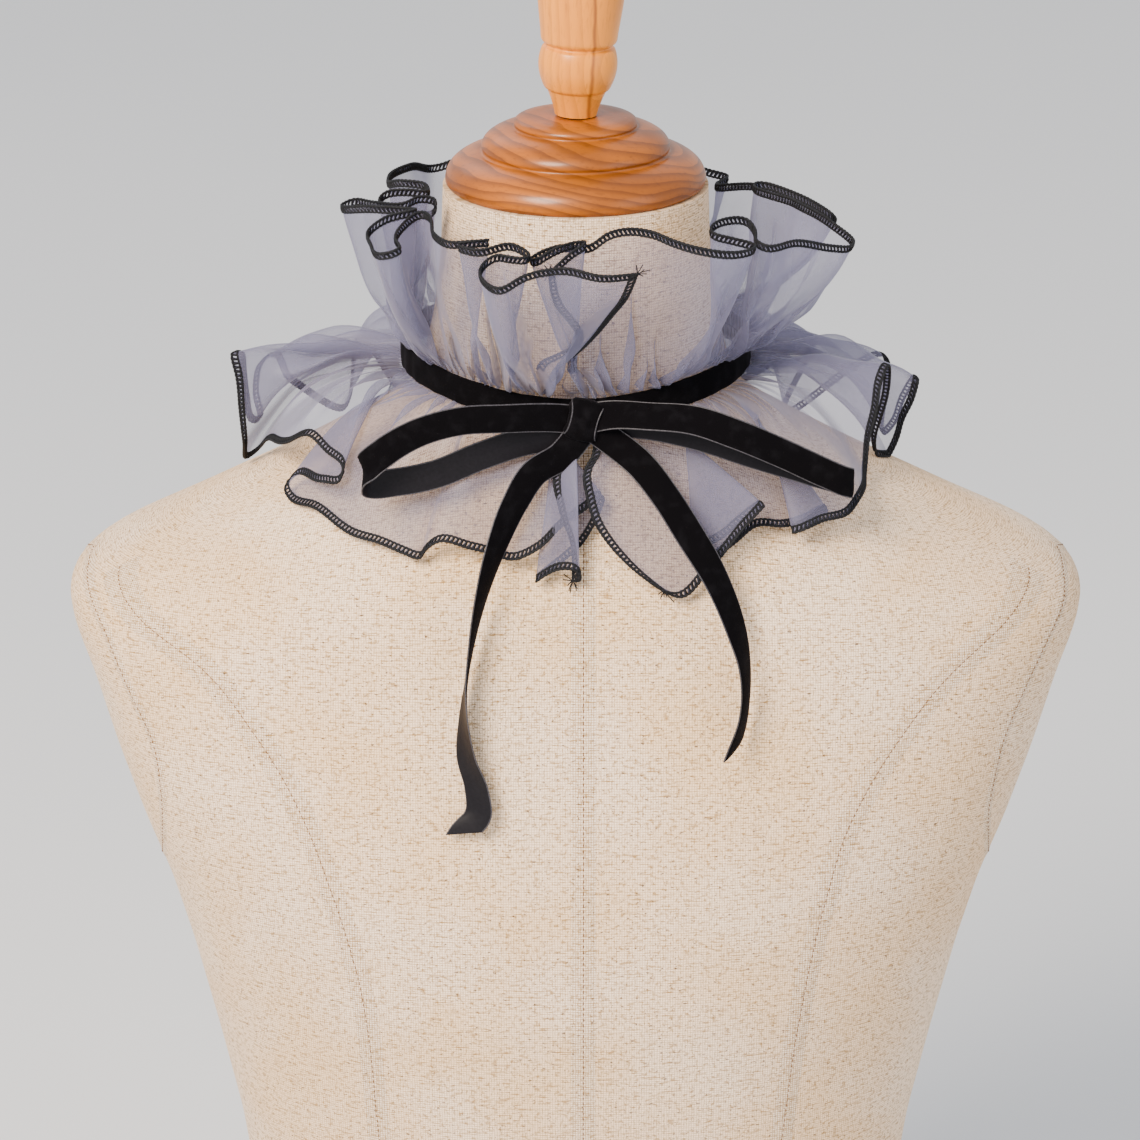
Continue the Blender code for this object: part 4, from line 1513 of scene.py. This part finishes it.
@dataclass
class RibbonLength:
    """A loop or a tail of the bow: velvet on one face, satin on the other, a selvedge on each edge."""

    name: str
    node: str
    table: Table
    hang: Hang
    velvet_side: float
    cut_slant: float = 0.0
    width: float = 11.0
    thickness: float = 0.9
    across: int = 9
    cup: float = 0.5
    step: float = 1.0
    # The cut end's slant comes in over this length
    slant_reach: float = 25.0

    def build(self, velvet: bpy.types.Material, satin: bpy.types.Material,
              selvedge: bpy.types.Material) -> None:
        """Build the length of ribbon.

        Args:
            velvet: the face's finish.
            satin: the back's finish.
            selvedge: the edges' finish.
        """
        line = smooth_line(self.table, self.step)
        run = unit(np.gradient(line[:, :3], axis=0))
        if self.hang is Hang.DOWN:
            wide = unit(np.cross(run, (0.0, 1.0, 0.0)))
        else:
            upright = np.array([0.0, 0.0, 1.0])
            wide = unit(upright - run * (run @ upright)[:, None])
        roll = np.radians(line[:, 3])[:, None]
        wide = wide * np.cos(roll) + np.cross(run, wide) * np.sin(roll)
        face = np.cross(run, wide) * self.velvet_side
        shares = np.linspace(-1.0, 1.0, self.across)
        lengths = lengths_along(line[:, :3])
        near_end = ease((lengths - lengths[-1] + self.slant_reach) / self.slant_reach)
        slip = near_end[:, None] * self.cut_slant * shares[None, :] * 0.5
        middle = (line[:, None, :3] + wide[:, None] * (shares * self.width / 2.0)[None, :, None]
                  + run[:, None] * slip[:, :, None]
                  - face[:, None] * (self.cup * shares**2)[None, :, None])
        edge = np.sqrt(np.maximum(1.0 - np.abs(shares) ** 6, 0.25))
        half = face[:, None] * (self.thickness / 2.0 * edge)[None, :, None]
        front, back = middle + half, middle - half
        rows, columns, _ = front.shape
        parts = MeshParts()
        both = np.concatenate([front.reshape(-1, 3), back.reshape(-1, 3)])
        base = rows * columns
        faces = grid_faces(rows, columns)
        back_faces = [[base + k for k in quad[::-1]] for quad in faces]
        rim = list(range(columns)) + [k * columns + columns - 1 for k in range(1, rows)]
        rim += [(rows - 1) * columns + k for k in range(columns - 2, -1, -1)]
        rim += [k * columns for k in range(rows - 2, 0, -1)]
        side = [[rim[k], rim[k - 1], base + rim[k - 1], base + rim[k]] for k in range(len(rim))]
        parts.add(both, faces + back_faces + side)
        parts.slots = [0] * len(faces) + [1] * (len(back_faces) + len(side))
        for column in (0, columns - 1):
            parts.add_tube(middle[:, column], face, self.thickness / 3.0, 6, 2)
        made = parts.build(self.name, [velvet, satin, selvedge])
        face_out(made)
        settle(made, "velvet", self.node)


@dataclass
class VelvetBow:
    """The velvet ribbon: the band round the neck, the knot, and the bow's loops and tails."""

    band_inner: float = 68.1
    band_rise: float = 530.0
    width: float = 11.0
    thickness: float = 1.0
    knot_centre: Row = (3.0, 75.6, 527.0)
    knot_half: Row = (6.4, 5.0, 8.3)
    knot_lean: float = math.radians(14.0)
    knot_wrap: float = 42.0
    band_steps: int = 420
    # How far the gathers under the band push its middle out and its edges up and down
    band_puff: float = 0.35
    band_ripple: float = 0.3

    def lengths(self) -> list[RibbonLength]:
        """List the loops and the tails, with their bends as (across, front, rise, roll).

        Returns:
            The four lengths of ribbon.
        """
        return [
            RibbonLength("loop_left_velvet", "bow_loop_left", (
                (0, 75.5, 527, 0), (-5.6, 77, 528, 0), (-28, 84, 530, 0), (-44, 87, 530, 0),
                (-60, 89, 526, 0), (-73, 88, 518, 0), (-81, 84.5, 509, 0), (-79, 80, 503, 0),
                (-68, 78, 503, 0), (-54, 78, 506, 0), (-37, 77.4, 513, 0), (-22, 76.2, 518, 0),
                (-6.2, 74.8, 521, 0), (0, 74.6, 523, 0)), Hang.LEVEL, velvet_side=1.0),
            RibbonLength("loop_right_velvet", "bow_loop_right", (
                (5, 76.5, 528, 12), (12.4, 78.6, 530, 30), (28, 83, 531, 40), (45, 85, 530, 30),
                (61, 87, 525, 14), (80, 85, 516, 0), (95, 82.5, 508, 0), (103, 81, 504, 0),
                (106.5, 77.5, 502, 0), (103, 74, 502, 0), (87, 73.7, 507, 0), (69, 75, 513, 0),
                (46, 76, 521, 0), (28, 76, 525, 0), (12.3, 75, 526, 0), (5, 74.8, 526, 0)),
                Hang.LEVEL, velvet_side=-1.0),
            RibbonLength("tail_left_velvet", "bow_tail_left", (
                (2, 76.5, 522, 0), (-5, 79, 514, 0), (-16, 84, 508, 6), (-23, 89.5, 498, 20),
                (-30, 95, 482, 42), (-35.5, 98.5, 464, 62), (-39.5, 102, 445, 78), (-42, 105, 428, 92),
                (-42.5, 107.5, 412, 114), (-41.5, 108.5, 400, 134), (-38, 110, 389, 146),
                (-37.5, 111, 380, 150), (-43, 112, 371, 162)), Hang.DOWN, velvet_side=-1.0, cut_slant=9.0),
            RibbonLength("tail_right_velvet", "bow_tail_right", (
                (4, 77, 526, 0), (13, 77.4, 519.5, 0), (24, 82.2, 512, 16), (35, 90, 500, 26),
                (43, 94, 488, 20), (54, 98, 470, 38), (62, 101, 450, 52), (65, 103, 438, 66),
                (65, 106.5, 418, 70), (61, 108.5, 404, 60)), Hang.DOWN, velvet_side=-1.0, cut_slant=-9.0),
        ]

    def build(self) -> None:
        """Build the whole ribbon."""
        velvet = CutVelvet().material()
        satin = WovenSatin().material()
        selvedge = WovenSelvedge().material()
        self.build_band(velvet)
        self.build_knot(velvet, selvedge)
        for length in self.lengths():
            length.build(velvet, satin, selvedge)

    def build_band(self, velvet: bpy.types.Material) -> None:
        """Build the band round the neck, with edges that follow the gathers under it.

        Args:
            velvet: its finish.
        """
        count = self.band_steps
        turns = np.linspace(0.0, 2.0 * math.pi, count, endpoint=False)
        shares = turns / (2.0 * math.pi)
        ends = np.sin(math.pi * shares) ** 0.3
        puff = self.band_puff * wander(shares, 60, 5) * ends
        # Round the section: share of the half width, and share of the thickness outwards
        section = ((1.0, 0.1), (0.97, 0.75), (0.8, 1.0), (0.3, 1.12), (-0.3, 1.12), (-0.8, 1.0),
                   (-0.97, 0.75), (-1.0, 0.1), (-0.6, 0.0), (0.6, 0.0))
        ring = []
        for high, out in section:
            reach = self.band_inner + self.thickness * out + puff * (0.3 + 0.7 * out)
            edge = self.band_ripple * wander(shares, 80, 9 if high > 0 else 12) * ends * abs(high)
            ring.append(np.column_stack([-reach * np.sin(turns), reach * np.cos(turns),
                                         self.band_rise - band_dip(turns)
                                         + high * self.width / 2.0 + edge]))
        rings = np.array(ring)
        parts = MeshParts()
        faces = closed_grid_faces(len(section), count)
        last = (len(section) - 1) * count
        faces += [[last + k, last + (k + 1) % count, (k + 1) % count, k] for k in range(count)]
        parts.add(rings, faces)
        made = parts.build("band_velvet", [velvet])
        face_out(made)
        settle(made, "velvet", "ribbon_band")

    def build_knot(self, velvet: bpy.types.Material, selvedge: bpy.types.Material) -> None:
        """Build the knot: a wrap of ribbon, drawn in at its edges and creased where it is pulled tight.

        Args:
            velvet: its finish.
            selvedge: its edges' finish.
        """
        round_steps, wide_steps = 48, 17
        turn = np.linspace(0.0, 2.0 * math.pi, round_steps, endpoint=False)
        shares = np.linspace(-1.0, 1.0, wide_steps)
        rings = []
        for share in shares:
            drawn_in = 1.0 - 0.10 * share**2 - 0.30 * max(abs(share) - 0.8, 0.0) / 0.2
            crease = 0.25 * math.sin(5.0 * share + 0.6) + 0.18 * math.sin(9.0 * share)
            front = self.knot_half[1] * drawn_in * np.sign(np.cos(turn)) * np.abs(np.cos(turn)) ** 0.75
            rise = self.knot_half[2] * drawn_in * np.sign(np.sin(turn)) * np.abs(np.sin(turn)) ** 0.75
            front = front + crease * np.maximum(np.cos(turn), 0.0)
            across = np.full(round_steps, share * self.knot_half[0])
            across = across * (1.0 - 0.10 * np.cos(2.0 * turn))
            rings.append(np.column_stack([across, front, rise]))
        places = np.array(rings)
        cos, sin = math.cos(self.knot_lean), math.sin(self.knot_lean)
        turned = np.stack([places[..., 0] * cos + places[..., 2] * sin, places[..., 1],
                           -places[..., 0] * sin + places[..., 2] * cos], axis=2)
        placed = turned + np.array(self.knot_centre)
        parts = MeshParts()
        parts.add(placed, closed_tube_faces(wide_steps, round_steps))
        middle = placed.mean(axis=(0, 1))
        for row in (1, wide_steps - 2):
            ring = np.concatenate([placed[row], placed[row, :1]])
            parts.add_tube(ring, unit(ring - middle), 0.3, 6, 1)
        made = parts.build("knot_velvet", [velvet, selvedge])
        face_out(made)
        settle(made, "velvet", "bow_knot")


# The collar


@dataclass
class Collar:
    """The whole collar: both halves of the strip and the ribbon."""

    strip_length: float = 1400.0
    upper_width: float = 68.0
    lower_width: float = 72.0

    def ruffles(self) -> list[Ruffle]:
        """List the standing ruffle and the lower one, with their bends as (across, front, rise).

        Returns:
            The strip's two halves.
        """
        upper = Ruffle(
            "organza_upper", "ruffle_upper",
            hem_left=(
                (23, 99, 592), (10, 102, 592), (-4, 98.5, 594), (-19, 101, 592), (-29, 104, 588),
                (-36, 95, 592), (-31, 87.5, 596), (-19, 92, 596), (-17, 88.5, 596), (-24, 82.5, 599),
                (-37, 84, 597), (-45, 79, 598), (-39, 79, 599), (-32, 77, 599), (-39, 75, 598),
                (-48, 73, 597), (-54, 64, 598), (-56, 50, 601), (-59, 44.5, 601), (-67, 55, 598),
                (-69, 62, 596), (-67, 71.5, 594), (-74, 72, 592), (-79, 62, 593), (-80, 53, 595),
                (-73, 46, 599), (-61, 41.5, 601), (-63, 37, 600), (-79, 30, 599), (-91, 17, 596),
                (-87, 13, 597), (-79, 20, 598), (-66, 29, 600), (-60, 23, 601), (-55, 22, 600),
                (-54, 27, 599), (-56, 20, 594), (-64, 12, 592), (-77, 8, 595), (-74, 2, 597),
                (-64, 3, 598), (-58, 2, 597), (-59, -6, 598), (-69, -11, 598), (-74, -20, 595),
                (-74, -30, 595), (-66, -50, 594), (-54, -76, 587)),
            hem_right=(
                (-10, 91, 590), (-2, 85, 596), (4, 80, 599), (1, 76, 598), (-6, 80, 597), (-15, 83, 593),
                (-17, 80, 592), (-6, 75, 596), (5, 74, 596), (12, 71, 600), (21, 68, 601), (28, 69, 600),
                (35, 73, 598), (48, 75, 595), (61, 73, 593), (68, 67, 593), (68, 62, 593), (60, 61, 595),
                (52, 60, 597), (52, 54, 598), (56, 49, 599), (66, 45, 598), (69, 50, 595), (69, 57, 593),
                (72, 60, 592), (85, 50, 591), (99, 40, 586), (106, 34, 584), (108, 27, 584), (100, 14, 588),
                (86, -10, 590), (72, -30, 590), (73, -37, 590), (91, -26, 587), (102, -13, 583),
                (103, -18, 580), (88, -46, 583), (72, -60, 583), (57, -78, 578), (62, -92, 578)),
            back=BackFolds(5, (86.0, 590.0), (110.0, 579.0), 3.0),
            end_left=((-9.1, 69.5, 541.9), (-6.0, 71.5, 547.3), (0.1, 76.0, 553.5), (7.3, 82.0, 562.5),
                      (14.4, 89.0, 573.4), (19.2, 94.5, 581.3)),
            end_right=((-15.2, 68.5, 543.5), (-13.7, 69.5, 547.6), (-7.5, 73.0, 552.1), (-0.7, 77.0, 557.3),
                       (0.5, 79.5, 562.1), (-3.7, 83.0, 569.9), (-7.5, 86.0, 575.8), (-9.4, 88.5, 582.8)),
            first_rise=530.15, leave_rise=536.3, swell=3.0, pressed_by_bow=False,
            cut_width=self.upper_width, cut_length=self.strip_length,
            gathers=(Gathers(104, 4.2, -0.006, 0.02, 0.46, 11), Gathers(57, 4.4, 0.04, 0.28, 0.80, 21),
                     Gathers(31, 4.6, 0.20, 0.52, 1.0, 31)))
        lower = Ruffle(
            "organza_lower", "ruffle_lower",
            hem_left=(
                (-1, 88, 466), (2, 90.5, 467), (1, 91.5, 471), (-6, 91, 472), (-16, 90, 466), (-11, 87, 469),
                (-4, 85, 474), (2, 83, 479), (10, 80, 498), (6, 82, 495), (-5, 86, 488), (-15, 89, 479),
                (-25, 89, 475), (-32, 88, 477), (-41, 87, 479), (-53, 85, 481), (-58, 84, 477),
                (-60, 82, 473), (-66, 79, 474), (-76, 75, 477), (-86, 69, 478), (-102, 53, 484),
                (-112, 42, 484), (-114, 37, 487), (-111, 37, 491), (-99, 54, 495), (-91, 61, 498),
                (-90, 60, 502), (-97, 50, 506), (-104, 42, 510), (-113, 33, 504), (-123, 3, 495),
                (-128, -10, 486), (-131, -12, 483), (-132, 2, 495), (-133, 4, 507), (-134, 5, 522),
                (-136, 3, 531), (-134, -3, 529), (-133, -8, 518), (-132, -12, 507), (-130, -15, 497),
                (-127, -19, 496), (-129, -24, 506), (-127, -28, 517), (-122, -34, 519), (-117, -42, 507),
                (-112, -50, 500)),
            hem_right=(
                (34, 89, 462), (40, 90, 460), (51, 88, 470), (65, 82, 486), (73, 78, 494), (67, 77, 489),
                (56, 81, 481), (44, 83, 474), (48, 82, 472), (61, 76, 477), (70, 72, 483), (80, 70, 482),
                (90, 62, 482), (98, 58, 485), (91, 68, 483), (83, 73, 480), (88, 74, 482), (95, 70, 484),
                (106, 63, 485), (110, 58, 489), (114, 32, 494), (115, 28, 503), (118, 24, 514),
                (120, 20, 525), (123, 14, 530), (124, 8, 522), (123, 5, 512), (121, 3, 504), (119, 1, 494),
                (121, -3, 485), (124, -8, 483), (129, -12, 491), (131, -14, 498), (135, -16, 506),
                (137, -18, 514), (136, -24, 511), (132, -28, 502), (129, -32, 491), (125, -38, 484)),
            back=BackFolds(7, (112.0, 486.0), (132.0, 513.0), 4.0),
            end_left=((-4.9, 72.0, 516.4), (-7.2, 76.5, 510.4), (-8.3, 80.5, 502.8), (-6.8, 83.0, 496.7),
                      (-4.9, 85.0, 489.7), (-2.2, 86.5, 483.4), (-1.1, 87.5, 477.2)),
            crease_left=((0.1, 74.5, 516.8), (0.6, 82.0, 507.5), (0.9, 88.0, 498.5), (1.2, 91.5, 479.7)),
            end_right=((7.4, 72.0, 517.3), (6.6, 75.0, 512.3), (3.9, 77.5, 508.2), (3.2, 79.0, 505.9),
                       (3.9, 81.5, 500.7), (5.1, 83.5, 495.7), (7.0, 85.5, 489.9), (10.8, 87.2, 483.6),
                       (15.4, 88.3, 477.9), (20.8, 89.2, 472.5), (27.4, 89.8, 467.0)),
            first_rise=529.85, leave_rise=523.7, swell=9.0, pressed_by_bow=True,
            cut_width=self.lower_width, cut_length=self.strip_length,
            gathers=(Gathers(108, 4.0, -0.006, 0.02, 0.46, 14), Gathers(61, 4.2, 0.04, 0.28, 0.80, 24),
                     Gathers(33, 4.2, 0.20, 0.52, 1.0, 34)))
        return [upper, lower]

    def build(self) -> None:
        """Build the strip's two halves and the ribbon."""
        organza = WovenOrganza().material()
        thread = SpunThread().material()
        for ruffle in self.ruffles():
            ruffle.build(organza, thread)
        VelvetBow().build()


# The studio


@dataclass(frozen=True)
class MattBoard:
    """Studio board in matt paint. It is a pale grey without gloss, with faint wide clouds."""

    colour: str = "#D9DADB"
    cloud: str = "#D3D5D8"
    cloud_size: float = 666.667

    def material(self) -> bpy.types.Material:
        """Make the material.

        Returns:
            The material.
        """
        material, tree, place = start_material("matt_studio_floor")
        cloud = add_node(tree, "ShaderNodeTexNoise", {
            "Scale": fineness(self.cloud_size), "Detail": 2.0, "Vector": place}).outputs["Fac"]
        colour = add_node(tree, "ShaderNodeMix", {
            "data_type": "RGBA", 0: cloud, 6: linear(self.colour), 7: linear(self.cloud)}).outputs[2]
        shader = add_node(tree, "ShaderNodeBsdfPrincipled", {"Base Color": colour, "Roughness": 0.9})
        add_node(tree, "ShaderNodeOutputMaterial", {"Surface": shader.outputs[0]})
        return material


@dataclass
class Studio:
    """A plain pale floor, soft light and the camera at the photo's angle. Lights are in metres."""

    # Each light: name, place, size, power in watts, colour
    lights: tuple[tuple[str, Row, float, float, str], ...] = (
        ("key", (-1.3, -2.0, 2.3), 1.4, 225.0, "#FFF0DE"),
        ("fill", (2.2, -1.6, 1.2), 2.0, 20.0, "#F6F6FF"),
        ("back", (-0.9, 1.8, 2.0), 1.2, 6.0, "#F4F6FF"),
    )
    lights_aim: Row = (0.0, 0.0, 0.45)
    surround: str = "#E6E8EC"
    surround_strength: float = 1.25
    aim: Row = (-2.2, 0.0, 439.3)
    distance: float = 2200.0
    elevation: float = math.radians(19.5)
    lens: float = 173.2
    sensor_width: float = 36.0
    floor_size: float = 16.0

    def build(self) -> None:
        """Build the floor, the lights and the camera."""
        self.build_floor()
        self.build_lights()
        self.build_camera()

    def build_floor(self) -> None:
        """Lay the floor at the form's underside."""
        half = self.floor_size / 2.0 / MM
        parts = MeshParts()
        parts.add(np.array([(-half, half, 0), (half, half, 0), (half, -half, 0), (-half, -half, 0)], float),
                  [[0, 1, 2, 3]])
        parts.build("floor", [MattBoard().material()], smooth=False)

    def build_lights(self) -> None:
        """Set a large soft key light, a fill, a low back light and a plain pale surround."""
        for name, place, size, power, colour in self.lights:
            light = bpy.data.lights.new(name, "AREA")
            light.shape = "DISK"
            light.size = size
            light.energy = power
            light.color = linear(colour)[:3]
            holder = bpy.data.objects.new(name, light)
            holder.location = place
            aim = Vector(self.lights_aim) - Vector(place)
            holder.rotation_euler = aim.to_track_quat("-Z", "Y").to_euler()
            bpy.context.scene.collection.objects.link(holder)
        world = bpy.data.worlds.new("pale_surround")
        world.use_nodes = True
        background = world.node_tree.nodes["Background"]
        background.inputs["Color"].default_value = linear(self.surround)
        background.inputs["Strength"].default_value = self.surround_strength
        bpy.context.scene.world = world

    def build_camera(self) -> None:
        """Set the camera at the photo's angle."""
        camera = bpy.data.cameras.new("camera")
        camera.lens = self.lens
        camera.sensor_width = self.sensor_width
        holder = bpy.data.objects.new("camera", camera)
        aim = Vector(to_metres(np.array(self.aim)))
        back = Vector((0.0, -math.cos(self.elevation), math.sin(self.elevation)))
        holder.location = aim + back * self.distance * MM
        holder.rotation_euler = (-back).to_track_quat("-Z", "Y").to_euler()
        bpy.context.scene.collection.objects.link(holder)
        bpy.context.scene.camera = holder


def main() -> None:
    """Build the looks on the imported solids."""
    logging.basicConfig(level=logging.INFO, format="%(message)s")
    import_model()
    Studio().build()
    DressForm().build()
    Collar().build()


if __name__ == "__main__":
    main()
